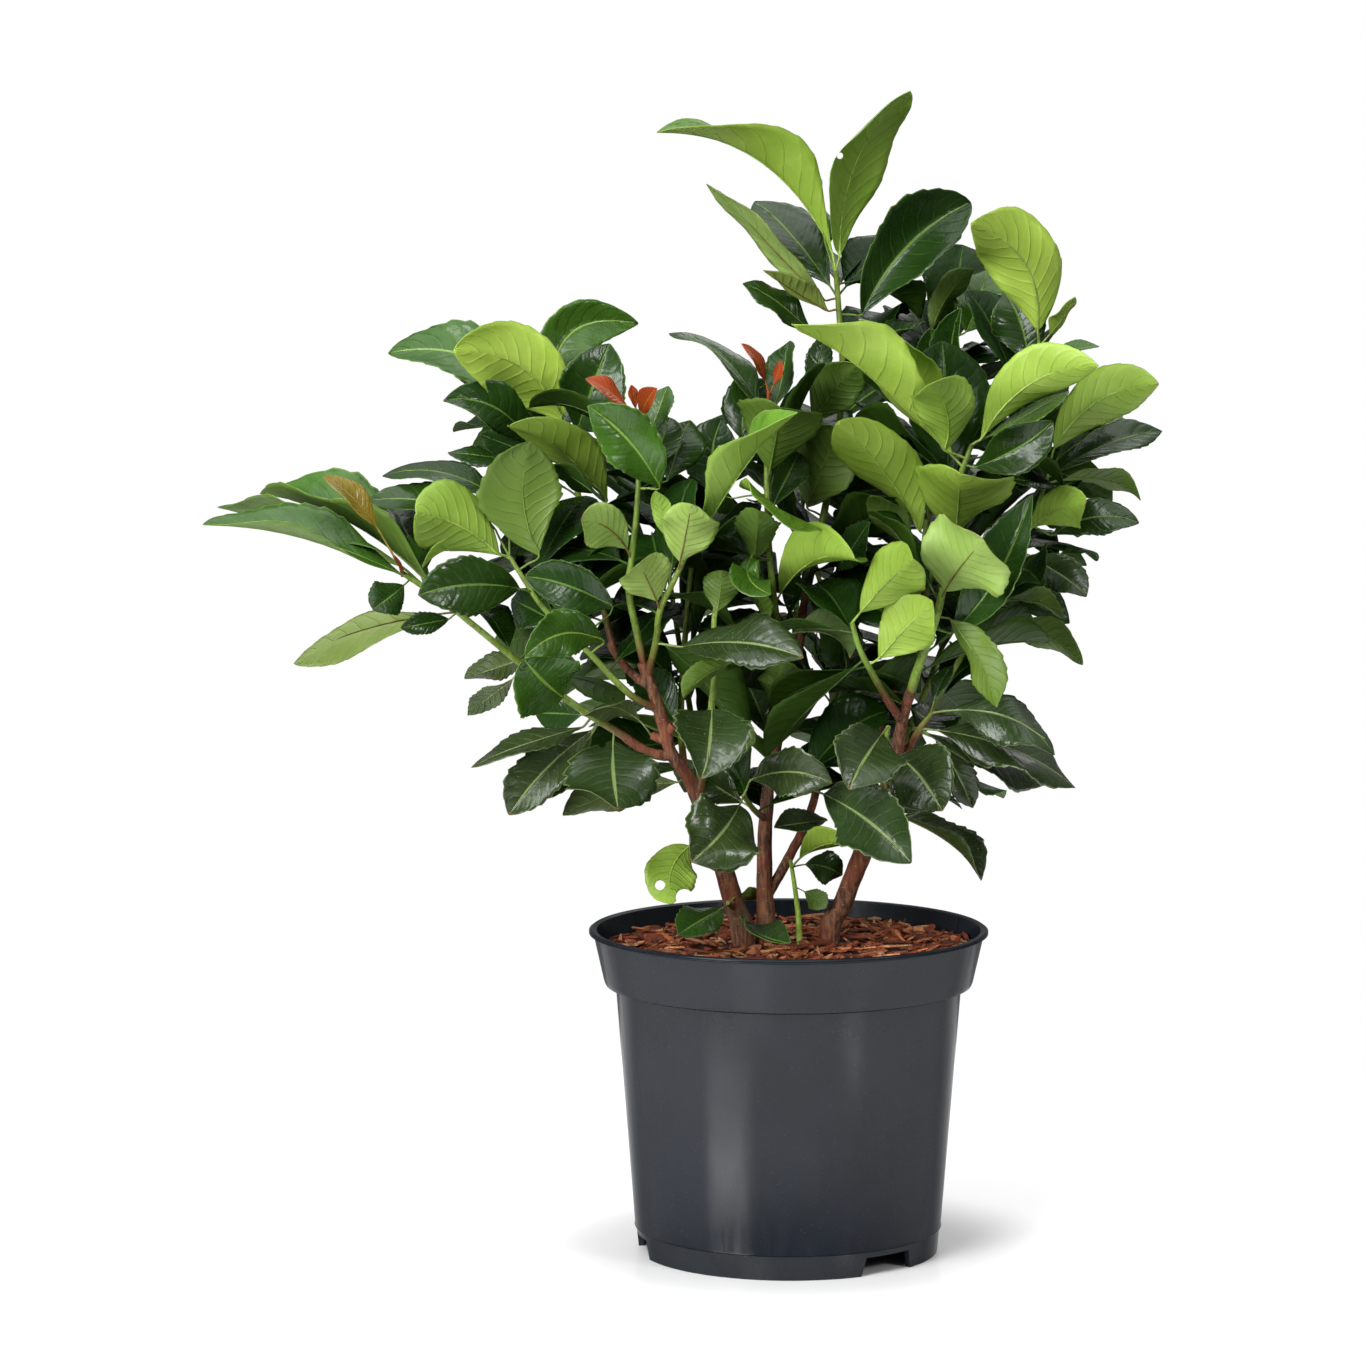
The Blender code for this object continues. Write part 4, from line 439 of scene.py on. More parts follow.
        [], [(-3, 308, -4, 344, -29, -55, "olive")]),
    "leaf_centre_back": ("trunk_centre", 0, None,
        [], [(-10, 290, -19, 318, -30, 340, 22, 24, "dark")]),
    "leaf_centre_low": ("trunk_centre", 0, None,
        [], [(22, 250, -8, 246, 16, -30, "old")]),
    "leaf_right_low": ("trunk_right", 0, None,
        [], [(64, 252, 96, 234, 113, 216, 12, -20, "old")]),
    "young_far_left": ("shoot_far_left", 0, (1.3, 0.9),
        [(-221, -50, 391), (-223, -57, 398), (-226, -62, 402)],
        [(-236, 419, -250, 436, -266, 448, 12, -78, "orange")]),
    "young_left": ("shoot_left_red", 0, (1.3, 0.9),
        [(-86, -40, 470), (-86, -42, 478), (-87, -44, 483)],
        [(-88, 480, -100, 494, -116, 504, 9, -60, "red"), (-86, 475, -83, 487, -76, 498, 10, -62, "red"),
         (-87, 482, -90, 500, 5, -45, "red")]),
    "young_centre": ("shoot_centre", 0, (1.3, 0.9),
        [(-12, -8, 488), (-12, -9, 494), (-12, -10, 498)],
        [(-12, 494, -16, 508, -27, 524, 7, -18, "red"), (-10, 494, -5, 514, 6, -14, "red")]),
    "shoot_rear_left": ("trunk_left", 8, (2.2, 1.3),
        [(-50, -17, 257), (-52, 14, 284), (-58, 52, 322), (-66, 86, 372), (-74, 104, 432)], []),
    "shoot_rear_centre": ("trunk_centre", 8, (2.2, 1.3),
        [(-12, -1, 264), (-5, 30, 298), (2, 68, 346), (6, 96, 408), (10, 108, 474)], []),
    "shoot_rear_right": ("trunk_right", 8, (2.2, 1.3),
        [(46, -4, 240), (58, 26, 276), (78, 62, 324), (98, 90, 384), (108, 102, 448)], []),
}


# Where the leaves go: the same rule as the solids follow

def bend(start, middle, end, share):
    rest = 1 - share
    handle = (middle - start * rest * rest - end * share * share) / (2 * share * rest)
    return lambda t: start * (1 - t) ** 2 + handle * 2 * t * (1 - t) + end * t * t


def aheadOn(rib, share):
    return (rib(min(share + 0.01, 1.0)) - rib(share - 0.01)).normalized()


def nearestOn(path, x, z):
    # the gap to the nearest spot of a path, as seen from the front, and that spot
    steps = blade["pathSteps"]
    spots = [start + (end - start) * step / steps
             for start, end in zip(path, path[1:]) for step in range(steps + 1)]
    return min(((math.hypot(spot[0] - x, spot[2] - z), spot) for spot in spots), key=lambda found: found[0])


def spotOn(path, share):
    spot = share * (len(path) - 1)
    low = min(int(spot), len(path) - 2)
    return path[low] + (path[low + 1] - path[low]) * (spot - low)


def halfWidth(u):
    belly, fullness = blade["outline"]
    return max(math.sin(math.pi * u ** belly), 0.0) ** fullness


def ringFaces(rings, sides, mirrored=False):
    faces = [tuple(reversed(range(sides)))]
    for ring in range(rings - 1):
        for side in range(sides):
            a, b = ring * sides + side, ring * sides + (side + 1) % sides
            c, d = b + sides, a + sides
            faces += [(a, b, d), (b, c, d)] if mirrored and side % 2 else [(a, b, c), (a, c, d)]
    top = (rings - 1) * sides
    return faces + [tuple(range(top, top + sides))]


def coarseTube(path, radii):
    points, sides = [], blade["stemSides"]
    last = len(path) - 1
    for number, centre in enumerate(path):
        ahead = (path[min(number + 1, last)] - path[max(number - 1, 0)]).normalized()
        first = ahead.cross(Vector((0, 1, 0)) if abs(ahead.y) < 0.8 else Vector((1, 0, 0))).normalized()
        second = ahead.cross(first).normalized()
        for side in range(sides):
            turn = 2 * math.pi * side / sides
            points.append(centre + (first * math.cos(turn) + second * math.sin(turn)) * radii[number])
    return points, ringFaces(len(path), sides)


def coarseLeaf(rib, stalkEnd, width, up, stations, grow=0.0):
    rings = []
    for number, u in enumerate((None, 0.0, *stations)):
        share = 0.0 if u is None else stalkEnd + (1 - stalkEnd) * u
        centre, along = rib(share), aheadOn(rib, share)
        top = up(centre, along)
        right = top.cross(along)
        half, lift, u = blade["stalkWidth"] / 2, 0.0, u or 0.0
        if number > 1:
            tooth = 1 + (blade["tooth"] if number % 2 else -blade["tooth"]) * (u > blade["toothFrom"])
            half = width / 2 * halfWidth(u) * tooth
            lift = blade["fold"] * half
        thick = blade["ribThickness"] + (blade["tipThickness"] - blade["ribThickness"]) * u
        wide, tall = half + grow, thick / 2 + grow
        rings += [centre + right * across + top * raised
                  for across, raised in ((wide, lift), (0, tall), (-wide, lift), (0, -tall))]
    return rings + [rib(1.0)]


def leafSolid(points):
    # the points of a coarse leaf, or of its outer rings, and the faces between them
    last = len(points) - 5
    tip = [(last + side, last + (side + 1) % 4, last + 4) for side in range(4)]
    return points, ringFaces(len(points) // 4, 4, mirrored=True)[:-1] + tip


def seenLeaf(leaf, path, shift, roll, scale):
    x, z, *via, tipX, tipZ, seenWidth, depth, _ = leaf
    face = math.copysign(1, seenWidth)
    gap, root = nearestOn(path, x, z)
    base, tip = Vector((x, root[1], z)), Vector((tipX, depth + shift, tipZ))
    via = Vector((via[0], 0, via[1])) if via else (base + tip) / 2
    reach = [math.hypot(b.x - a.x, b.z - a.z) for a, b in ((base, via), (via, tip))]
    if gap * mm > 2 * blade["stalkWidth"]:
        base.y = root[1] + (tip.y - root[1]) * gap / (gap + sum(reach))
    else:
        base = root.copy()
    share = reach[0] / sum(reach)
    via.y = base.y + (tip.y - base.y) * share - face * blade["arch"] * sum(reach)
    root, base, via, tip = (seenPoint(*p) for p in (root, base, via, tip))
    tip, via = base + (tip - base) * scale, base + (via - base) * scale
    curve = rib = bend(base, via, tip, share)
    length, stalk = (tip - base).length, (base - root).length
    stalkEnd = min(blade["stalkLength"] / length, blade["mostStalk"])
    if stalk > 1e-6:
        stalkEnd = stalk / (stalk + length)
        def rib(t):
            if t < stalkEnd:
                return root + (base - root) * t / stalkEnd
            return curve((t - stalkEnd) / (1 - stalkEnd))
    seen = abs(seenWidth) * mm * scale
    width = max(seen, blade["widthShare"] * length)
    turn = math.acos(min(seen / width, 1.0))

    def up(centre, along):
        front = (eye - centre).normalized()
        front = (front - along * front.dot(along)).normalized()
        side = along.cross(front)
        normal = front * face * math.cos(turn) + (-side if side.z < 0 else side) * math.sin(turn)
        return normal * math.cos(roll) + along.cross(normal) * math.sin(roll)

    size = "shortStations" if length < blade["shortLeaf"] else (
        "longStations" if length > blade["longLeaf"] else "stations")
    return rib, stalkEnd, width, up, blade[size]


def backLeaf(root, out, length, roll, droop):
    tip = root + out * length
    rib = bend(root, (root + tip) / 2 + Vector((0, 0, droop * length)), tip, 0.5)

    def up(_, along):
        side = along.cross(Vector((0, 0, 1))).normalized()
        return side.cross(along) * math.cos(roll) + side * math.sin(roll)

    return rib, blade["stalkLength"] / length, blade["backWidthShare"] * length, up, blade["shortStations"]


def drawBackLeaf(path, number, count, lean, draw):
    first, reach = blade["backPlaces"]
    root = spotOn(path, first + reach * (number + draw.random()) / count)
    step = blade["backTurn"]
    turn = math.radians(step * number + draw.uniform(-step, step) / 2)
    rise = draw.uniform(*blade["backRise"])
    out = Vector((math.cos(turn), lean[0] + lean[1] * math.sin(turn), rise)).normalized()
    roll = draw.uniform(-blade["backRoll"], blade["backRoll"])
    return backLeaf(root, out, draw.uniform(*blade["backLength"]), roll, draw.uniform(*blade["backDroop"]))


def inThePot(point):
    around = math.hypot(point.x, point.y)
    low = point.z < mulch["top"] + blade["mulchClearance"]
    return point.z <= pot["height"] + blade["clearance"] and (
        abs(around - pot["rimRadius"]) < blade["rimClearance"] or (around < pot["rimRadius"] and low))


def inCadBox(point):
    return all(low <= value <= high for low, value, high in zip(cadBox[0], point, cadBox[1]))


def inCrown(point):
    x, z = seenFromFront(point)
    inside = False
    for (x1, z1), (x2, z2) in zip(crownOutline, crownOutline[1:] + crownOutline[:1]):
        if (z1 > z) != (z2 > z) and x < x1 + (x2 - x1) * (z - z1) / (z2 - z1):
            inside = not inside
    return inside


def treeOf(points, faces):
    return BVHTree.FromPolygons([tuple(p) for p in points], faces, all_triangles=False)


class Crowd:
    # the solids that stand in the way of the next leaf, each with its node and kind
    def __init__(self):
        self.points, self.faces, self.solids = [], [], []

    def add(self, node, kind, points, faces):
        shift = len(self.points)
        self.points += points
        self.faces += [tuple(n + shift for n in face) for face in faces]
        self.solids.append((node, kind, treeOf(points, faces)))

    def settle(self):
        self.solids = [(None, None, treeOf(self.points, self.faces))]

    def hits(self, start, way, reach):
        return any(tree.ray_cast(start, way, reach)[0] is not None for _, _, tree in self.solids)

    def hides(self, spot, point):
        sight = point - spot
        return self.hits(spot, sight.normalized(), sight.length - 2 * mm)

    def clear(self, shape, node=None, host=None):
        # its stalk may touch what carries it, and a leaf with no node may touch all with its stalk
        rings = coarseLeaf(*shape, grow=blade["clearance"])
        if any(map(inThePot, rings)):
            return False
        whole, top = treeOf(*leafSolid(rings)), treeOf(*leafSolid(rings[8:]))
        for owner, kind, tree in self.solids:
            own = owner == node or (kind == "stem" and owner == host)
            if (top if own else whole).overlap(tree):
                return False
        return True

    def gain(self, shape, spot, shy=False):
        # how many of its points show from a spot; a shy leaf hides no other one from the front
        points = coarseLeaf(*shape)[8:]
        if not all(map(inCrown, points)):
            return 0
        count = 0
        for number, point in enumerate(points):
            if shy and not self.hides(eye, point):
                way = (point - eye).normalized()
                if self.hits(point + way * 3 * mm, way, 2):
                    return 0
            count += number % 4 < 3 and not self.hides(spot, point)
        return count


def tries():
    for scale in blade["scales"]:
        for roll in blade["rolls"]:
            for step in range(blade["shiftSteps"] + 1):
                for sign in (1, -1) if step else (1,):
                    yield blade["shiftStep"] * step * sign, math.radians(roll), scale


def stemOf(rows, radii, bottom):
    # the true path of a stem, with a straight foot in the soil where it has one
    path = [seenPoint(*row[:3]) for row in rows]
    radii = [radius * mm for radius in radii]
    if bottom is not None:
        foot = Vector((path[0].x, path[0].y, bottom))
        path[0].z = soil["stemFoot"]
        path, radii = [foot, *path], [radii[0], *radii]
    return path, radii


def placeStems():
    stems = {node: [stemOf(stem, [row[3] for row in stem], None if number else soil["rootBottom"])
                    for number, stem in enumerate(rows)] for node, rows in woodStems.items()}
    for node, (host, _, ends, stem, _) in shoots.items():
        stems[node] = []
        if stem:
            radii = [ends[0] + (ends[1] - ends[0]) * n / (len(stem) - 1) for n in range(len(stem))]
            stems[node] = [stemOf(stem, radii, soil["sproutBottom"] if host == "soil" else None)]
    for node, parts in stems.items():
        for path, radii in parts:
            crowd.add(node, "stem", *coarseTube(path, radii))
    return stems


def put(node, shape, tone, owner):
    crowd.add(owner, "leaf", *leafSolid(coarseLeaf(*shape)))
    leaves[node].append((shape, tone))


def placeLeaves():
    for node, (host, _, _, stem, rows) in shoots.items():
        ways = [[Vector(row[:3]) for row in way] for way in ([stem] if stem else woodStems[host])]
        for leaf in rows:
            way = min(ways, key=lambda path: nearestOn(path, *leaf[:2])[0])
            for move in tries():
                shape = seenLeaf(leaf, way, *move)
                if crowd.clear(shape, node, host):
                    put(node, shape, leaf[-1], node)
                    break
            else:
                print("no room for a leaf of", node, leaf[:2])
    for number, (node, (_, count, *_)) in enumerate(shoots.items()):
        draw = random.Random(blade["backSeed"] + number)
        rear = node.startswith("shoot_rear")
        for leaf in range(count):
            best, most = None, blade["leastGain"] - 1
            for _ in range(blade["backTries"]):
                lean = blade["rearLean" if rear else "backLean"]
                shape = drawBackLeaf(stems[node][0][0], leaf, count, lean, draw)
                gain = crowd.gain(shape, rearEye if rear else eye)
                if gain > most and crowd.clear(shape, node):
                    best, most = shape, gain
            if best:
                # back leaves take the back tone, whose dark colour is painted shade
                put(node, best, "rear" if rear else "back", node)


crowd = Crowd()
leaves = {node: [] for node in shoots}
stems = placeStems()
placeLeaves()
print("leaves placed:", sum(map(len, leaves.values())))


# More small leaves inside the crown, where light would still show through

fill = {
    "leaves": 230, "tries": 60, "seed": 77, "leastGain": 2,
    "length": (48 * mm, 86 * mm), "places": (0.1, 0.95), "rise": (-0.5, 1.0), "roll": 0.7,
    "droop": (0.02, 0.14),
    "fresh": 8,  # leaves between two rebuilds of the tree that holds them all
    "eyes": (eye, eye, eye, Vector((2.7, 0.2, 0.6)), Vector((-2.7, 0.2, 0.6)), rearEye),
}


def drawFiller(draw):
    node = draw.choice([node for node in shoots if stems[node] and not node.startswith("young")])
    root = spotOn(stems[node][0][0], draw.uniform(*fill["places"]))
    out = circled(1, draw.uniform(0, 2 * math.pi), draw.uniform(*fill["rise"])).normalized()
    length, roll = draw.uniform(*fill["length"]), draw.uniform(-fill["roll"], fill["roll"])
    return node, backLeaf(root, out, length, roll, draw.uniform(*fill["droop"]))


def fillCrown():
    crowd.settle()
    draw = random.Random(fill["seed"])
    added = 0
    for number in range(fill["leaves"]):
        spot = fill["eyes"][number % len(fill["eyes"])]
        best, most = None, fill["leastGain"] - 1
        for _ in range(fill["tries"]):
            node, shape = drawFiller(draw)
            gain = crowd.gain(shape, spot, shy=True)
            inside = gain > most and all(map(inCadBox, coarseLeaf(*shape, grow=blade["clearance"])))
            if inside and crowd.clear(shape):
                best, most = (node, shape), gain
        if best:
            # fillers take the back tone, whose dark colour is painted shade
            put(*best, "back", None)
            added += 1
            if added % fill["fresh"] == 0:
                crowd.settle()
    print("leaves filled in:", added)


fillCrown()


# Leaves: one blade is modelled from a grid, and each copy is bent along its own rib

leafLook = {
    "grid": (12, 42), "backGrid": (8, 22), "thickness": 0.42 * mm, "leastHalf": 0.4 * mm,
    "teeth": 0.020, "teethFrom": 0.30, "teethTo": 0.97, "toothRows": 4,  # of the half width
    "lumps": 0.050, "swells": (9, 17),  # slow swellings of the outline, of the half width
    "wave": 0.14, "waveShift": 1.9,  # up and down along the edge, of the half width
    "pucker": 0.18 * mm, "fullPucker": 8 * mm,  # between the side veins
    "veins": 9, "veinSlope": (0.16, 0.05), "twistFrom": 0.35, "hookFrom": 0.55,
    "ribRadius": (0.75 * mm, 0.20 * mm), "ribTaper": 0.7, "ribSunk": 0.6, "ribSides": 6,
    "ribPlaces": (0.15, 0.35, 0.6, 0.85), "ribLength": 90 * mm, "ribLeast": 0.45,
    "vary": {"upperColour": 0.16, "underColour": 0.09, "stemColour": 0.10},
    "oldWear": (0.2, 1.0), "wear": (-0.8, 0.5), "hiddenGloss": 0.3,
}

# colours of the upper face, the lower face and the rib, for each tone
tones = {
    "bright": (rgb(104, 138, 40), rgb(160, 186, 78), rgb(164, 190, 98)),
    "lime": (rgb(86, 124, 36), rgb(136, 164, 66), rgb(148, 176, 82)),
    "pale": (rgb(96, 126, 52), rgb(152, 174, 92), rgb(116, 100, 52)),
    "olive": (rgb(54, 82, 26), rgb(88, 112, 44), rgb(100, 124, 50)),
    "mid": (rgb(48, 84, 24), rgb(98, 124, 54), rgb(124, 154, 62)),
    "dark": (rgb(30, 56, 16), rgb(76, 100, 44), rgb(98, 130, 54)),
    "old": (rgb(38, 54, 26), rgb(76, 92, 50), rgb(122, 140, 84)),
    # the back tone is darker than any leaf's own green: painted shade inside the crown
    "back": (rgb(20, 44, 9), rgb(46, 70, 20), rgb(62, 92, 32)),
    "rear": (rgb(36, 64, 18), rgb(84, 110, 48), rgb(104, 136, 56)),
    "red": (rgb(132, 54, 20), rgb(156, 82, 36), rgb(178, 106, 52)),
    "orange": (rgb(104, 94, 30), rgb(146, 128, 54), rgb(150, 136, 70)),
}
youngTones, hiddenTones = ("red", "orange"), ("back", "rear")
smoothTones = ("bright", "lime", "pale", *youngTones)

# places, seen from the front, where a leaf is holed or bitten, each with its radius
bites = {
    "shoot_top": [(28, 630, 1.9)],
    "shoot_far_left": [(-107, 294, 2.0), (-193, 333, 5), (-186, 325, 3)],
    "leaf_low_left": [(-60, 205, 5), (-74, 212, 3)],
}
biteLook = {"near": (1.6, 3), "round": 1.35, "most": 0.2}


def makeBladeMaster(name, columns, rows):
    bpy.ops.mesh.primitive_grid_add(x_subdivisions=columns, y_subdivisions=rows, size=2)
    return justMade(name)


def paint(mesh, name, colour):
    layer = mesh.attributes.new(name, "FLOAT_COLOR", "POINT")
    layer.data.foreach_set("color", list(colour) * len(mesh.vertices))


def paintStem(mesh, colour, root, reach):
    # from the wood's colour at the root to the stem's own
    paint(mesh, "stemColour", colour)
    for point, mark in zip(mesh.vertices, mesh.attributes["stemColour"].data):
        share = min(1.0, max(0.0, (point.co - root).length / reach - stemLook["woodyTo"]))
        mark.color = [w + (c - w) * share for w, c in zip(stemLook["woody"], colour)]


def varied(colour, draw, amount):
    value = 1 + draw.uniform(-amount, amount)
    warm = 1 + draw.uniform(-amount, amount) * 0.6
    return (colour[0] * value * warm, colour[1] * value, colour[2] * value / warm, 1.0)


def drawHabit(tone, draw):
    # how this one leaf folds, curls, twists and hangs
    loose = 1.4 if tone == "old" else 0.5 if tone in youngTones else 1.0
    rough = loose * (0.5 if tone in smoothTones else 1.0)
    crinkle = 3.0 if tone == "pale" else 0.8
    return {
        "fold": blade["fold"] + draw.uniform(-0.12, 0.28) * loose,
        "curl": draw.uniform(-0.75, 0.55) * loose,
        "twist": draw.uniform(-0.55, 0.55) * loose,
        "hook": draw.uniform(0.0, 0.30) * loose,
        "lean": draw.uniform(-0.07, 0.07),
        "lumps": [leafLook["lumps"] * draw.uniform(-1, 1) * rough for _ in range(4)],
        "belly": draw.uniform(0.86, 1.14),
        "point": draw.uniform(1.0, 1.35),
        "wave": leafLook["wave"] * draw.uniform(0.4, 1.7) * loose,
        "phase": draw.uniform(0, 6),
        "pitch": draw.uniform(7, 12),
        "tooth": leafLook["teeth"] * draw.uniform(0.5, 1.5) * rough,
        "shift": draw.randrange(leafLook["toothRows"]),
        "pucker": leafLook["pucker"] * crinkle * draw.uniform(0.5, 1.3),
    }


def bladePoint(shape, habit, side, along):
    # side runs from -1 to 1 across the blade, along from 0 to 1 up it
    look, phase = leafLook, habit["phase"]
    rib, stalkEnd, width, up, _ = shape
    share = stalkEnd + (1 - stalkEnd) * along
    centre, ahead = rib(share), aheadOn(rib, share)
    level = up(centre, ahead)
    turn = habit["twist"] * (along - look["twistFrom"])
    top = level * math.cos(turn) + level.cross(ahead) * math.sin(turn)
    far, reach = side > 0, abs(side)
    slow, quick = habit["lumps"][:2] if far else habit["lumps"][2:]
    half = width / 2 * halfWidth(along ** habit["belly"]) ** habit["point"]
    half *= 1 + (habit["lean"] if far else -habit["lean"])
    first, second = look["swells"]
    half *= 1 + slow * math.sin(along * first + phase) + quick * math.sin(along * second - phase)
    if look["teethFrom"] < along < look["teethTo"]:
        step = (round(along * look["grid"][1]) + habit["shift"] + 2 * far) % look["toothRows"]
        half *= 1 + habit["tooth"] * (step - 1.5) * reach ** 8
    half = max(half, look["leastHalf"])
    slope = habit["fold"] + 0.5 * habit["curl"] * reach
    wave = math.sin(along * habit["pitch"] + phase + look["waveShift"] * far)
    straight, bent = look["veinSlope"]
    beat = look["veins"] * (along - straight * reach - bent * reach ** 2) + 0.5 * far
    swell = math.sin(2 * math.pi * beat) * 4 * reach * (1 - reach) * min(1, half / look["fullPucker"])
    hang = habit["hook"] * width * 2 * max(along - look["hookFrom"], 0) ** 2
    lift = half * reach * (slope + habit["wave"] * reach * wave) + habit["pucker"] * swell - hang
    outward = top.cross(ahead) * (half * side * (1 - 0.4 * slope * slope))
    return centre - outward + top * (lift + look["thickness"] / 2)


def awayFrom(spot, point):
    # from a spot seen from the front to a point, in mm
    seen = seenFromFront(point)
    return Vector((seen[0] - spot[0], 0, seen[1] - spot[1]))


def bite(mesh, spots):
    # takes out the faces near each spot, as seen from the front, and rounds the hole
    cut = bmesh.new()
    cut.from_mesh(mesh)
    share, more = biteLook["near"]
    for *spot, radius in spots:
        near = [edge for edge in cut.edges
                if all(awayFrom(spot, vert.co).length < radius * share + more for vert in edge.verts)]
        if 0 < len(near) < biteLook["most"] * len(cut.edges):
            bmesh.ops.subdivide_edges(cut, edges=near, cuts=3, use_grid_fill=True)
        gone = [face for face in cut.faces if awayFrom(spot, face.calc_center_median()).length < radius]
        if not gone or len(gone) > biteLook["most"] * len(cut.faces):
            continue
        bmesh.ops.delete(cut, geom=gone, context="FACES")
        for vert in cut.verts:
            step = awayFrom(spot, vert.co)
            if vert.is_boundary and step.length < radius * biteLook["round"]:
                vert.co += step.normalized() * (radius - step.length) * mm
    cut.to_mesh(mesh)
    cut.free()


def makeBlade(masters, node, shape, tone, draw):
    hidden = tone in hiddenTones
    mesh = masters[hidden].data.copy()
    habit = drawHabit(tone, draw)
    for point in mesh.vertices:
        point.co = bladePoint(shape, habit, point.co.x, (point.co.y + 1) / 2)
    for name, colour in zip(("upperColour", "underColour"), tones[tone]):
        paint(mesh, name, varied(colour, draw, leafLook["vary"][name]))
    paint(mesh, "ribColour", tones[tone][2])
    wear = max(0.0, draw.uniform(*leafLook["oldWear" if tone == "old" else "wear"]))
    gloss = leafLook["hiddenGloss"] if hidden else 1.0
    paint(mesh, "wear", (wear * (not hidden), draw.random(), draw.random(), gloss))
    if node in bites and not hidden:
        bite(mesh, bites[node])
    return putIn(node + "Blade", mesh)


def makeTube(name, path, radii, sides, resolution):
    # a round stem along a smooth line through the path's points
    bpy.ops.curve.primitive_bezier_curve_add()
    stem = justMade(name)
    line = stem.data
    line.splines.clear()
    spline = line.splines.new("BEZIER")
    spline.bezier_points.add(len(path) - 1)
    for knot, point, radius in zip(spline.bezier_points, path, radii):
        knot.co, knot.radius = point, radius / mm
        knot.handle_left_type = knot.handle_right_type = "AUTO"
    line.dimensions = "3D"
    line.resolution_u = resolution
    line.bevel_depth = mm
    line.bevel_resolution = sides // 4
    line.use_fill_caps = True
    choose(stem)
    bpy.ops.object.convert(target="MESH")
    return stem


def makeRib(node, shape, tone, draw):
    # the stalk runs on under the blade as its raised midrib
    rib, stalkEnd, _, up, _ = shape
    thick, thin = leafLook["ribRadius"]
    thick *= min(1.0, leafLook["ribLeast"] + (rib(1.0) - rib(stalkEnd)).length / leafLook["ribLength"])
    shares = [0.0, stalkEnd * 0.5, stalkEnd] + [stalkEnd + (1 - stalkEnd) * u for u in leafLook["ribPlaces"]]
    path, radii = [], []
    for share in shares:
        radius = thick + (thin - thick) * share ** leafLook["ribTaper"]
        centre = rib(share)
        if share > stalkEnd:
            centre = centre - up(centre, aheadOn(rib, share)) * radius * leafLook["ribSunk"]
        path.append(centre)
        radii.append(radius)
    stalk = makeTube(node + "Rib", path, radii, leafLook["ribSides"], 3)
    paint(stalk.data, "stemColour", varied(tones[tone][2], draw, leafLook["vary"]["stemColour"]))
    return stalk


stemLook = {
    "green": rgb(112, 138, 54), "greenLight": rgb(136, 168, 70), "red": rgb(150, 70, 36),
    "stout": 2.5, "sides": 12, "resolution": 5,
    "woody": rgb(104, 62, 40), "woodyTo": 0.35, "reach": (16 * mm, 30 * mm), "shortReach": 0.4,
}


def veinMasks(g):
    # from the blade's own UV map: how near a point is to the midrib and to a side vein
    uv = g.add("UVMap", uv_map="UVMap").outputs["UV"]
    wear = g.add("Attribute", attribute_name="wear").outputs
    own = g.add("VectorMath", {"Vector": wear["Vector"], "Scale": 31.0}, operation="SCALE").outputs["Vector"]
    spot = g.add("VectorMath", {0: uv, 1: own}, operation="ADD").outputs["Vector"]
    x, y, _ = g.split(uv)
    side = g.minus(x, 0.5)
    reach = g.times(g.math("ABSOLUTE", side), 2.0)
    along = g.plus(y, g.times(g.noise(spot, 2.4, 1.0), 0.09, -0.045))
    slope = g.times(g.math("POWER", reach, 3.0), 0.07, g.times(reach, 0.15))
    beat = g.times(g.minus(along, slope), float(leafLook["veins"]))
    beat = g.plus(beat, g.times(g.math("GREATER_THAN", side, 0.0), 0.5))
    saw = g.math("ABSOLUTE", g.minus(g.math("FRACT", beat), 0.5))
    vein = g.times(g.ramp(saw, 0.075, 0.012), g.patches(spot, 11.0, 1.0, 0.22, 0.50))
    net = g.add("TexVoronoi", {"Vector": g.stretch(spot, (20.0, 46.0, 46.0)), "Scale": 1.0},
                feature="DISTANCE_TO_EDGE").outputs["Distance"]
    worn = g.split(wear["Vector"])["X"]
    tip = g.times(g.noise(spot, 9.0), 0.10, y)
    return {
        "vein": g.times(vein, g.ramp(reach, 1.0, 0.45)),
        "quilt": g.ramp(saw, 0.0, 0.30),
        "midrib": g.ramp(reach, 0.060, 0.022),
        "edge": g.ramp(reach, 0.955, 0.995),
        "net": g.ramp(net, 0.09, 0.0),
        "brown": g.times(g.ramp(tip, 1.025, 1.045), g.ramp(worn, 0.30, 0.45)),
        "worn": worn,
        "gloss": g.times(g.times(g.ramp(g.facing(), 0.95, 0.45), 0.32, 0.04), wear["Alpha"]),
    }


def upperFace():
    g = Graph("leafUpper")
    masks, place = veinMasks(g), g.place()
    base, ribColour = g.attribute("upperColour"), g.attribute("ribColour")
    # light, laid between the side veins by the quilt mask, is a painted highlight on the puckered swellings;
    # on the vein net it is the net's own paler green
    light = g.tint(base, 1.60, 1.38, 1.15)
    colour = g.mix(g.patches(place, 48.0, 3.0, 0.34, 0.66), g.tint(base, 0.56, 0.62, 0.50), base)
    for mask, amount, other in (("quilt", 0.26, light), ("net", 0.14, light), ("vein", 0.16, ribColour),
                                ("midrib", 0.80, ribColour), ("edge", 0.40, ribColour)):
        colour = g.over(colour, masks[mask], amount, other)
    dust = g.times(g.patches(place, 1300.0, 1.0, 0.76, 0.80), masks["worn"])
    colour = g.over(colour, dust, 0.6, rgb(190, 196, 176))
    colour = g.mix(masks["brown"], colour, rgb(104, 78, 44))
    height = g.times(g.noise(place, 120.0), 1.7, g.times(masks["quilt"], 0.28))
    height = g.minus(height, g.times(masks["midrib"], 0.8))
    roughness = g.times(g.noise(place, 70.0, 2.0), 0.34, 0.10)
    return g.finish(colour, roughness, masks["gloss"], g.bump(height, 0.6, 0.0007))


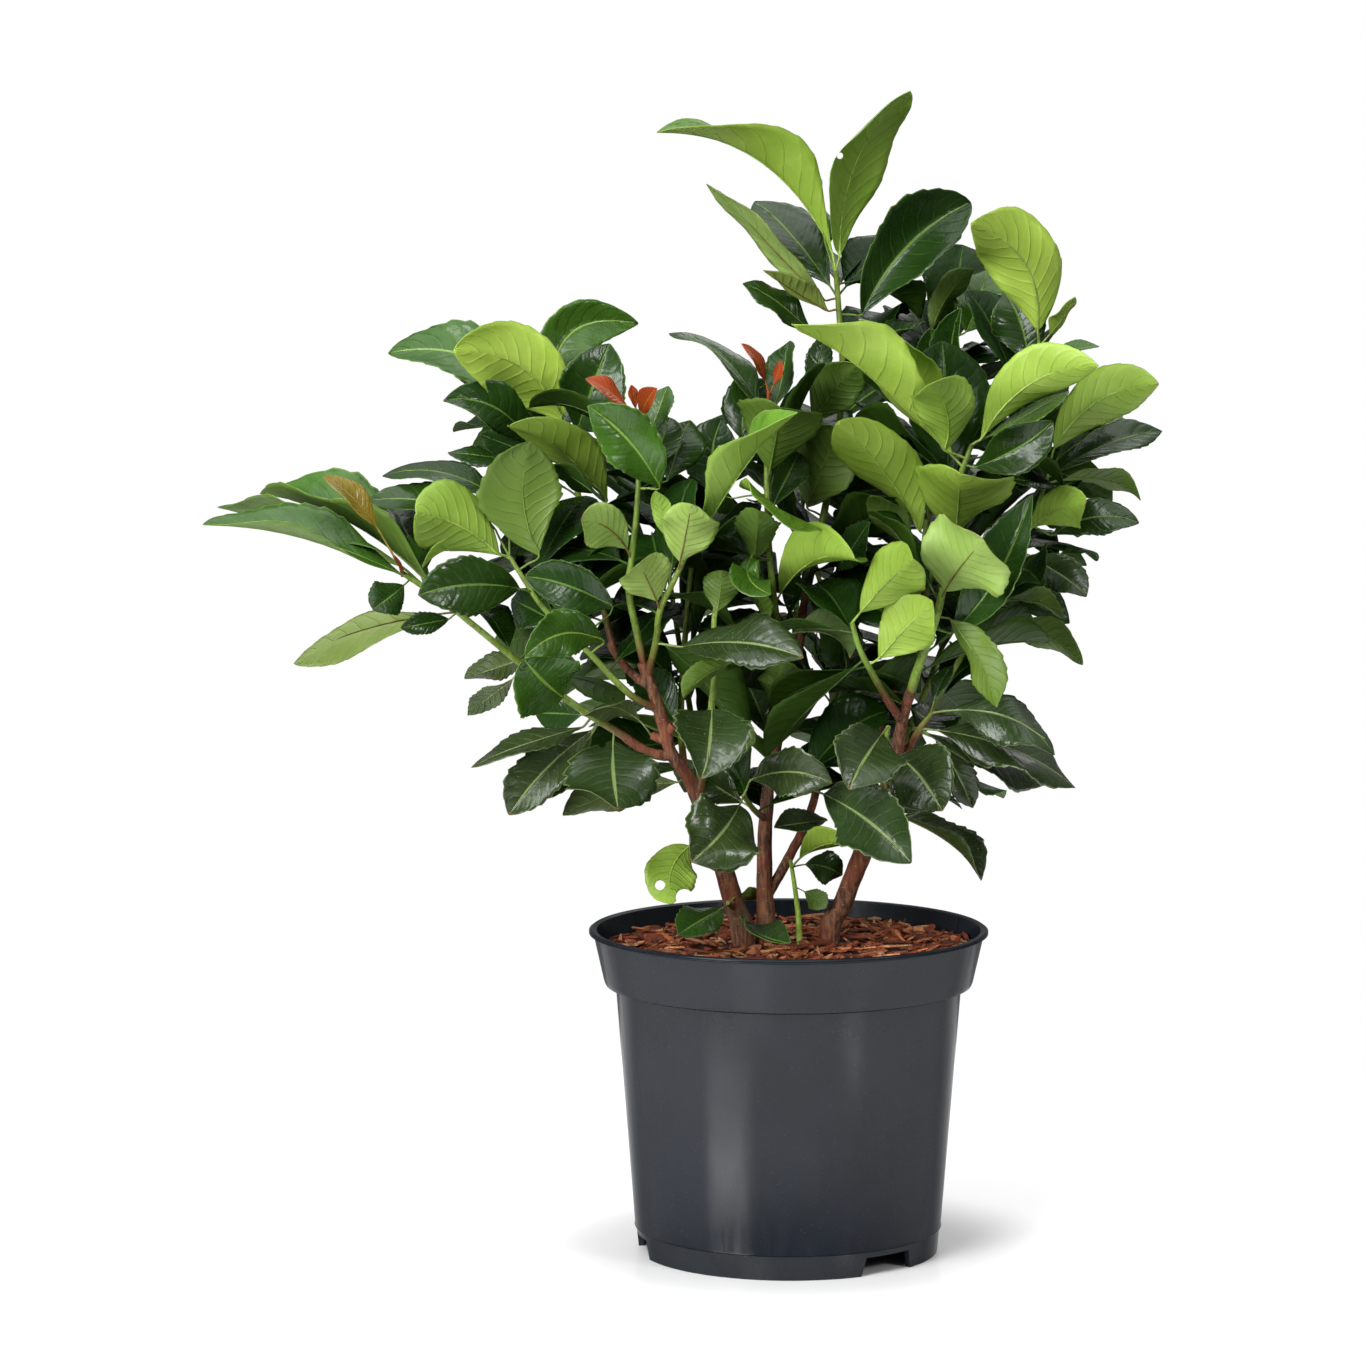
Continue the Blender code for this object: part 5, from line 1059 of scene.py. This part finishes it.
def underFace():
    g = Graph("leafUnder")
    masks, place = veinMasks(g), g.place()
    base = g.attribute("underColour")
    # dark, laid between the side veins by the quilt mask, is painted shade in the hollows; in the random
    # patches it is the leaf's own darker tone
    dark, deep = g.tint(base, 0.74, 0.80, 0.62), g.tint(base, 0.40, 0.46, 0.30)
    colour = g.mix(g.patches(place, 38.0, 3.0, 0.32, 0.68), dark, base)
    for mask, amount, other in (("quilt", 0.42, dark), ("net", 0.12, deep), ("vein", 0.40, deep),
                                ("edge", 0.35, deep)):
        colour = g.over(colour, masks[mask], amount, other)
    colour = g.over(colour, g.patches(place, 900.0, 1.0, 0.72, 0.78), 0.30, deep)
    colour = g.mix(masks["brown"], colour, rgb(116, 86, 46))
    height = g.times(g.noise(place, 110.0), 1.1, g.times(masks["vein"], 0.7))
    height = g.minus(height, g.times(masks["quilt"], 0.45))
    return g.finish(colour, 0.46, g.times(masks["gloss"], 0.8), g.bump(height, 0.55, 0.0006))


def stemSkin():
    g = Graph("stemSkin")
    base = g.attribute("stemColour")
    colour = g.mix(g.patches(g.place(), 95.0, 3.0, 0.35, 0.68), g.tint(base, 0.55, 0.56, 0.40), base)
    grain = g.noise(g.place(1, 1, 0.3), 520.0)
    colour = g.over(colour, g.ramp(grain, 0.48, 0.66), 0.5, g.tint(base, 1.30, 1.16, 1.0))
    pits = g.patches(g.place(1, 1, 0.45), 620.0, 1.0, 0.64, 0.72)
    colour = g.over(colour, pits, 0.7, rgb(84, 62, 32))
    return g.finish(colour, 0.46, 0.35, g.bump(g.plus(grain, pits), 0.45, 0.0005))


def makeStem(node, path, radii, draw):
    host, _, ends, *_ = shoots[node]
    light = ends[0] > stemLook["stout"] or host == "soil"
    tone = "red" if node.startswith("young") else "greenLight" if light else "green"
    stem = makeTube(node + "Stem", path, radii, stemLook["sides"], stemLook["resolution"])
    tint = varied(stemLook[tone], draw, leafLook["vary"]["stemColour"])
    reach = draw.uniform(*stemLook["reach"]) * (stemLook["shortReach"] if tone == "greenLight" else 1)
    paintStem(stem.data, tint, path[0], reach if host.startswith("trunk") else mm)
    return stem


def makeShoots():
    upper, under, skin = upperFace(), underFace(), stemSkin()
    masters = [makeBladeMaster("bladeMaster", *leafLook["grid"]),
               makeBladeMaster("backBladeMaster", *leafLook["backGrid"])]
    for node in shoots:
        draw = random.Random(node)
        whole = joinAll([makeBlade(masters, node, *leaf, draw) for leaf in leaves[node]], node + "Leaves")
        dress(whole, upper, under)
        solid = whole.modifiers.new("thickness", "SOLIDIFY")
        solid.thickness = leafLook["thickness"]
        solid.offset = -1
        solid.material_offset = 1
        applyModifiers(whole)
        smooth(whole)
        ribs = [makeRib(node, *leaf, draw) for leaf in leaves[node]]
        ribs += [makeStem(node, path, radii, draw) for path, radii in stems[node]]
        wood = joinAll(ribs, node + "Stems")
        dress(wood, skin)
        smooth(wood)
        finishPiece(joinAll([whole, wood], node + "_leaves"), node)
    for master in masters:
        bpy.data.objects.remove(master)
    print("shoots made:", len(shoots))


makeShoots()


# Trunks

barkLook = {"sides": 16, "resolution": 8, "relief": 0.35 * mm, "reliefScale": 320}


def barkSkin():
    g = Graph("bark")
    place = g.place()
    streaks = g.noise(g.place(1.0, 1.0, 0.22), 520.0, 6.0, 0.66)
    colour = g.mix(g.ramp(streaks, 0.38, 0.64), rgb(60, 38, 28), rgb(124, 84, 58))
    colour = g.over(colour, g.patches(place, 46.0, 3.0, 0.42, 0.66), 0.55, rgb(120, 58, 38))
    colour = g.over(colour, g.patches(place, 30.0, 2.0, 0.55, 0.75), 0.40, rgb(108, 92, 76))
    dots = g.patches(g.place(0.6, 0.6, 1.6), 620.0, 1.0, 0.68, 0.75)
    colour = g.over(colour, dots, 0.6, rgb(178, 142, 102))
    return g.finish(colour, 0.78, 0.3, g.bump(g.plus(streaks, g.times(dots, 0.5)), 0.8, 0.0010))


def makeTrunks():
    skin = barkSkin()
    for node in woodStems:
        tubes = [makeTube(node + "Part", path, radii, barkLook["sides"], barkLook["resolution"])
                 for path, radii in stems[node]]
        trunk = joinAll(tubes, node + "_bark")
        for point, normal in zip(trunk.data.vertices, [v.normal.copy() for v in trunk.data.vertices]):
            spot = point.co * barkLook["reliefScale"]
            lumps = noise.noise(Vector((spot.x, spot.y, spot.z * 0.4))) + 1.2 * noise.noise(spot * 0.25)
            point.co += normal * lumps * barkLook["relief"]
        dress(trunk, skin)
        smooth(trunk)
        finishPiece(trunk, node)
    print("trunks made")


makeTrunks()


# Mulch: a lumpy bed with shreds of bark strewn over it

mulchLook = {
    "ringPoints": 120, "rings": 26, "bedGap": 0.4 * mm, "bedDepth": 6 * mm, "bedDrop": 0.6 * mm,
    "crumb": 0.9 * mm, "crumbScale": 420, "lumpScales": (60, 140),
    "shredLength": (9 * mm, 38 * mm), "shredWidth": (1.4 * mm, 4.2 * mm), "shredHeight": 1.1 * mm,
    "shredGap": 1.2 * mm, "lift": (0.0, 2.2), "roll": 0.6, "shredPitch": 0.16, "flakePitch": 0.35,
    "flakeSize": (4 * mm, 12 * mm), "flakeShare": (0.35, 0.8), "vary": 0.2, "seed": 23,
    "masters": {"shredA": (0.5, 1), "shredB": (-0.9, 2), "shredC": (0.1, 3)},  # bow and seed
    "cuts": (-0.25, 0.05, 0.3), "splits": 0.05,  # along a splinter of length 1
    "bed": rgb(60, 32, 22),
    "colours": (rgb(136, 70, 42), rgb(154, 88, 54), rgb(102, 50, 30), rgb(178, 114, 76), rgb(86, 43, 28),
                rgb(198, 144, 100), rgb(142, 72, 40), rgb(116, 58, 36)),
}


def innerRadius(z):
    low, high, foot, top = pot["floorZ"] + pot["wall"], pot["collarFootZ"], pot["bodyFoot"], pot["bodyTop"]
    if z >= pot["collarFootZ"]:
        low, high, foot, top = pot["collarFootZ"], pot["height"], pot["collarFoot"], pot["collarTop"]
    return foot + (top - foot) * (z - low) / (high - low) - pot["wall"]


def mulchHeight(x, y):
    coarse, fine = mulchLook["lumpScales"]
    lumps = noise.noise(Vector((x, y, 0.3)) * coarse) + 0.7 * noise.noise(Vector((y, x, 5.1)) * fine)
    mound = mulch["mound"] * math.exp(-(x * x + y * y) / mulch["moundSpread"])
    return mulch["top"] + mound + mulch["relief"] * lumps


def makeBed():
    edge = innerRadius(mulch["top"]) - mulchLook["bedGap"]
    bpy.ops.mesh.primitive_circle_add(vertices=mulchLook["ringPoints"], radius=edge, location=(0, 0, 0))
    bed = justMade("bark_bed")
    editAll(bed)
    for ring in range(mulchLook["rings"] - 1, 0, -1):
        bpy.ops.mesh.extrude_edges_move()
        bpy.ops.transform.resize(value=[(ring - 0.5) / (ring + 0.5)] * 3)
    bpy.ops.mesh.merge(type="CENTER")
    bpy.ops.object.mode_set(mode="OBJECT")
    for point in bed.data.vertices:
        x, y, _ = point.co
        crumbs = noise.noise(Vector((x, y, 9.0)) * mulchLook["crumbScale"]) * mulchLook["crumb"]
        point.co.z = mulchHeight(x, y) + crumbs - mulchLook["bedDrop"]
    choose(bed)
    bpy.ops.object.mode_set(mode="EDIT")
    bpy.ops.mesh.select_mode(type="VERT")
    bpy.ops.mesh.select_all(action="DESELECT")
    mesh = bmesh.from_edit_mesh(bed.data)
    for point in mesh.verts:
        point.select = math.hypot(point.co.x, point.co.y) > edge * 0.999
    mesh.select_flush_mode()
    bmesh.update_edit_mesh(bed.data)
    bpy.ops.mesh.select_mode(type="EDGE")
    bpy.ops.mesh.extrude_edges_move(TRANSFORM_OT_translate={"value": (0, 0, -mulchLook["bedDepth"])})
    bpy.ops.mesh.edge_face_add()
    bpy.ops.mesh.select_all(action="SELECT")
    bpy.ops.mesh.normals_make_consistent(inside=False)
    bpy.ops.object.mode_set(mode="OBJECT")
    paint(bed.data, "shredColour", mulchLook["bed"])
    return bed


def makeShredMaster(name, bow, seed):
    # one splinter, 1 long along X, split at its ends and a little bowed
    bpy.ops.mesh.primitive_cube_add(size=1)
    shred = justMade(name)
    editAll(shred)
    for x in mulchLook["cuts"]:
        bpy.ops.mesh.select_all(action="SELECT")
        bpy.ops.mesh.bisect(plane_co=(x, 0, 0), plane_no=(1, 0, 0))
    bpy.ops.object.mode_set(mode="OBJECT")
    draw = random.Random(seed)
    for point in shred.data.vertices:
        taper = 1 - 0.75 * (abs(point.co.x) * 2) ** 2.2
        point.co.y = point.co.y * taper * draw.uniform(0.75, 1.1) + bow * (0.25 - point.co.x ** 2)
        point.co.z = point.co.z * (0.5 + 0.5 * taper) * draw.uniform(0.7, 1.2)
        point.co.x += draw.uniform(-mulchLook["splits"], mulchLook["splits"])
    return shred


def drawShred(draw, flake, edge, feet):
    # where one shred or flake lies and its three sides, or None where it would not fit
    look = mulchLook
    length = draw.uniform(*look["shredLength"]) * draw.uniform(0.5, 1.0)
    width = draw.uniform(*look["shredWidth"]) * (0.6 + 0.4 * draw.random())
    if flake:
        length = draw.uniform(*look["flakeSize"])
        width = length * draw.uniform(*look["flakeShare"])
    radius = edge * math.sqrt(draw.random())
    turn, yaw = draw.uniform(0, 2 * math.pi), draw.uniform(0, 2 * math.pi)
    pitch = draw.gauss(0, look["flakePitch" if flake else "shredPitch"])
    spot, ahead = circled(radius, turn), circled(1, yaw)
    ends = [spot + ahead * length * s for s in (-0.5, 0.5)]
    if max(end.length for end in ends) > edge:
        return None
    if min((spot - foot).length - wide for foot, wide in feet) < length * 0.4:
        return None
    spot.z = mulchHeight(spot.x, spot.y) + draw.uniform(*look["lift"]) * mm
    ahead = (ahead + Vector((0, 0, math.tan(pitch)))).normalized()
    roll = draw.uniform(-look["roll"], look["roll"])
    level = Vector((-ahead.y, ahead.x, 0)).normalized()
    side = level * math.cos(roll) + ahead.cross(level) * math.sin(roll)
    return spot, ahead * length, side * width, ahead.cross(side) * look["shredHeight"]


def makeMulch():
    shreds = [makeBed()]
    masters = [makeShredMaster(name, *habit) for name, habit in mulchLook["masters"].items()]
    feet = [(Vector((*parts[0][0][0].xy, 0)), parts[0][1][0]) for node, parts in stems.items()
            if node in woodStems or node == "basal_sprout"]
    edge = innerRadius(mulch["top"]) - mulchLook["shredGap"]
    draw = random.Random(mulchLook["seed"])
    for number in range(mulch["shreds"] + mulch["flakes"]):
        found = drawShred(draw, number >= mulch["shreds"], edge, feet)
        if not found:
            continue
        centre, *sides = found
        mesh = draw.choice(masters).data.copy()
        for point in mesh.vertices:
            point.co = centre + sum((side * part for side, part in zip(sides, point.co)), Vector())
        paint(mesh, "shredColour", varied(draw.choice(mulchLook["colours"]), draw, mulchLook["vary"]))
        shreds.append(putIn("shred", mesh))
    for master in masters:
        bpy.data.objects.remove(master)
    piece = joinAll(shreds, "bark_shreds")
    dress(piece, mulchSkin())
    finishPiece(piece, "bark_mulch")
    print("mulch made:", len(shreds) - 1, "shreds")


def mulchSkin():
    g = Graph("mulchBark")
    place, base = g.place(), g.attribute("shredColour")
    deep = g.tint(base, 0.42, 0.34, 0.30)
    grain = g.noise(place, 1100.0, 3.0, 0.6)
    colour = g.mix(g.ramp(grain, 0.34, 0.62), deep, base)
    colour = g.over(colour, g.patches(place, 90.0, 3.0, 0.52, 0.75), 0.5, deep)
    return g.finish(colour, 0.85, 0.25, g.bump(grain, 0.7, 0.0008))


makeMulch()


# Compost: hidden but for the drain holes

def compostSkin():
    g = Graph("compostSoil")
    crumbs = g.noise(g.place(), 300.0, 5.0, 0.65)
    colour = g.mix(g.ramp(crumbs, 0.35, 0.65), rgb(30, 22, 17), rgb(70, 50, 36))
    return g.finish(colour, 0.95, 0.2, g.bump(crumbs, 0.9, 0.002))


dress(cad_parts["compost"], compostSkin())


# Pot

potLook = {
    "sides": 160, "lipHeight": 3.2 * mm, "bevel": 0.45 * mm, "bevelAngle": 28, "smoothAngle": 50,
    "below": 1 * mm,  # how far a notch's cutter reaches under the pot
    "lineAngles": (-78, 66, 114, -126), "lineFoot": 0.112,  # painted dark reflection lines, turned from the front
}


def potProfile():
    # radius and height from the underside's middle, round the outside and back over the floor
    p = pot
    wall, lip, foot = p["wall"], p["height"] - potLook["lipHeight"], p["footRadius"]
    body, band, collar, collarZ = p["bodyFoot"], p["bandZ"], p["collarFoot"], p["collarFootZ"]
    return [
        (0.0, 0.0), (p["centreFoot"], 0.0), (p["centreFoot"], p["floorZ"]),
        (foot - 2 * wall, p["floorZ"]), (foot - 2 * wall, 0.0), (foot, 0.0),
        (body - 0.7 * mm, band - 1.2 * mm), (body + 0.45 * mm, band - 0.4 * mm),
        (body + 0.1 * mm, band + 0.6 * mm),
        (p["bodyTop"], collarZ - wall), (collar - 3.2 * mm, collarZ - wall),
        (collar - 1.0 * mm, collarZ - 0.9 * mm), (collar, collarZ + 1.6 * mm),
        (p["collarTop"], lip), (p["rimRadius"], lip + 0.8 * mm), (p["rimRadius"], p["height"] - 1.0 * mm),
        (p["rimRadius"] - 1.4 * mm, p["height"]), (innerRadius(p["height"]), p["height"] - 0.8 * mm),
        (innerRadius(collarZ), collarZ), (p["bodyTop"] - wall, collarZ),
        (body - wall, p["floorZ"] + wall), (0.0, p["floorZ"] + wall),
    ]


def makePotShell():
    bpy.ops.mesh.primitive_circle_add(vertices=3, radius=1)
    shell = justMade("pot_shell")
    mesh = bmesh.new()
    points = [mesh.verts.new((r, 0, z)) for r, z in potProfile()]
    for pair in zip(points, points[1:]):
        mesh.edges.new(pair)
    mesh.to_mesh(shell.data)
    mesh.free()
    editAll(shell)
    bpy.ops.mesh.spin(steps=potLook["sides"], angle=2 * math.pi, center=(0, 0, 0), axis=(0, 0, 1))
    bpy.ops.mesh.select_all(action="SELECT")
    bpy.ops.mesh.remove_doubles(threshold=0.01 * mm)
    bpy.ops.mesh.normals_make_consistent(inside=False)
    bpy.ops.object.mode_set(mode="OBJECT")
    return shell


def cutAway(shell, cutter):
    cut = shell.modifiers.new("cut", "BOOLEAN")
    cut.operation = "DIFFERENCE"
    cut.object = cutter
    applyModifiers(shell)
    bpy.data.objects.remove(cutter)


def makeNotch(angle):
    # wider at its foot, and a little longer downwards than the notch that it cuts
    middle, below = pot["notchHeight"] / 2, potLook["below"]
    bpy.ops.mesh.primitive_cube_add(size=1, location=(pot["footRadius"], 0, middle - below))
    notch = justMade("notch")
    notch.scale = (pot["notchDepth"], pot["notchWidth"], pot["notchHeight"] + 2 * below)
    applyPlace(notch)
    for point in notch.data.vertices:
        if point.co.z < middle:
            point.co.y *= pot["notchFlare"]
    notch.rotation_euler.z = math.radians(angle)
    applyPlace(notch)
    return notch


def makeDrain(number):
    turn = 2 * math.pi * (number + 0.5) / pot["drainHoles"]
    bpy.ops.mesh.primitive_cylinder_add(vertices=32, radius=pot["drainRadius"], depth=pot["drainDepth"],
                                        location=circled(pot["drainCircle"], turn, pot["floorZ"] + 1 * mm))
    drain = justMade("drain")
    applyPlace(drain)
    return drain


def paintedReflectionLines(g):
    # painted reflections: the thin dark upright lines on the collar and the upper body
    x, y, z = g.split(g.place())
    turn = g.math("ARCTAN2", x, g.times(y, -1.0))
    lines = 0.0
    for angle in potLook["lineAngles"]:
        near = g.math("ABSOLUTE", g.minus(turn, math.radians(angle)))
        lines = g.math("MAXIMUM", lines, g.ramp(near, 0.011, 0.006))
    return g.times(lines, g.ramp(z, potLook["lineFoot"] - 6 * mm, potLook["lineFoot"]))


def potPlastic():
    g = Graph("potPlastic")
    place = g.place()
    colour = g.mix(g.patches(place, 22.0, 4.0, 0.35, 0.70), rgb(17, 21, 27), rgb(22, 26, 33))
    colour = g.over(colour, g.patches(place, 900.0, 2.0, 0.66, 0.74), 0.10, rgb(120, 124, 128))
    # dark upright lines painted on as reflections
    colour = g.over(colour, paintedReflectionLines(g), 0.8, rgb(2, 2, 3))
    scuffs = g.noise(g.place(1, 1, 0.12), 160.0, 4.0, 0.6)
    soft = g.bump(g.noise(place, 24.0, 2.0), 0.20, 0.0010)
    gloss = g.times(g.ramp(g.facing(), 0.66, 0.16), 0.26, 0.02)
    roughness = g.times(g.ramp(scuffs, 0.30, 0.75), 0.10, 0.16)
    return g.finish(colour, roughness, gloss, g.bump(scuffs, 0.05, 0.0002, soft))


def makePot():
    shell = makePotShell()
    for angle in pot["notchAngles"]:
        cutAway(shell, makeNotch(angle))
    for number in range(pot["drainHoles"]):
        cutAway(shell, makeDrain(number))
    bevel = shell.modifiers.new("bevel", "BEVEL")
    bevel.width = potLook["bevel"]
    bevel.segments = 2
    bevel.limit_method = "ANGLE"
    bevel.angle_limit = math.radians(potLook["bevelAngle"])
    applyModifiers(shell)
    bpy.ops.object.shade_smooth_by_angle(angle=math.radians(potLook["smoothAngle"]))
    dress(shell, potPlastic())
    finishPiece(shell, "pot")
    print("pot made")


makePot()


# Stage, light and camera

stageLook = {
    "floorRadius": 0.62, "floorRoughness": 0.16, "floorColours": (rgb(240, 240, 240), rgb(244, 244, 244)),
    # the floor's glow is painted light, dimmed beside the pot as a painted contact shadow
    "floorGlow": (0.0, 0.36), "glowRing": (0.10, 0.18),  # beside the pot, and farther out
    "skyTop": 0.55, "skyBack": 0.16, "skyLow": 0.10,
    "lights": {  # place, what it is turned to, width, height and power
        "topLight": ((0, -0.1, 2.3), (0, 0, 0), 2.4, 2.4, 30),
        "keyLight": ((-0.9, -1.7, 1.9), (0, 0, 0.42), 0.9, 0.9, 36),
        "leftLight": ((-1.60, -1.68, 0.80), (0, 0, 0.15), 1.2, 1.1, 62),
        "rightLight": ((1.66, -1.62, 1.33), (0, 0, 0.15), 0.5, 0.4, 18),
        "backLight": ((0.5, 1.9, 1.6), (0, 0, 0.40), 1.2, 1.2, 7),
    },
}


def makeFloor():
    bpy.ops.mesh.primitive_circle_add(vertices=128, radius=stageLook["floorRadius"], fill_type="NGON")
    floor = justMade("studio_floor")
    g = Graph("paleFloor")
    colour = g.mix(g.patches(g.place(), 3.0, 2.0, 0.3, 0.7), *stageLook["floorColours"])
    # painted light: the floor glows, least beside the pot, where this leaves a painted contact shadow
    around = g.add("VectorMath", {"Vector": g.place()}, operation="LENGTH").outputs["Value"]
    near, far = stageLook["floorGlow"]
    glow = g.times(g.ramp(around, *stageLook["glowRing"]), far - near, near)
    dress(floor, g.finish(colour, stageLook["floorRoughness"], 0.5, glow=glow))


def makeLight(name, place, target, width, height, power):
    light = bpy.data.lights.new(name, "AREA")
    light.energy = power
    light.shape = "RECTANGLE"
    light.size, light.size_y = width, height
    lamp = putIn(name, light)
    lamp.location = place
    lamp.visible_camera = False
    lamp.rotation_euler = (Vector(target) - Vector(place)).to_track_quat("-Z", "Y").to_euler()


def makeSky():
    # white to the eye; for light, bright above, less behind, and dim in front, as in a studio
    world = bpy.data.worlds.new("studio")
    world.use_nodes = True
    world.node_tree.nodes.clear()
    g = Graph("studio", world.node_tree)
    _, y, z = g.split(g.add("TexCoord").outputs["Generated"])
    above = g.times(g.ramp(z, 0.15, 0.95), stageLook["skyTop"])
    behind = g.times(g.ramp(y, -0.1, 0.9), stageLook["skyBack"])
    glow = g.plus(g.plus(above, behind), stageLook["skyLow"])
    glow = g.math("MAXIMUM", glow, g.add("LightPath").outputs["Is Camera Ray"])
    light = g.add("Background", {"Color": (1.0, 1.0, 1.0, 1.0), "Strength": glow})
    g.add("OutputWorld", {"Surface": light.outputs["Background"]})
    bpy.context.scene.world = world


def makeCamera():
    bpy.ops.object.camera_add(location=eye, rotation=(math.radians(90 - photo["pitch"]), 0, 0))
    camera = justMade("photo_camera")
    camera.data.sensor_width = photo["sensor"]
    camera.data.lens = photo["sensor"] * photo["focal"] / photo["width"]
    bpy.context.scene.camera = camera


makeFloor()
makeSky()
for name, settings in stageLook["lights"].items():
    makeLight(name, *settings)
bpy.context.scene.view_settings.view_transform = "Standard"
makeCamera()
print("stage and camera made")
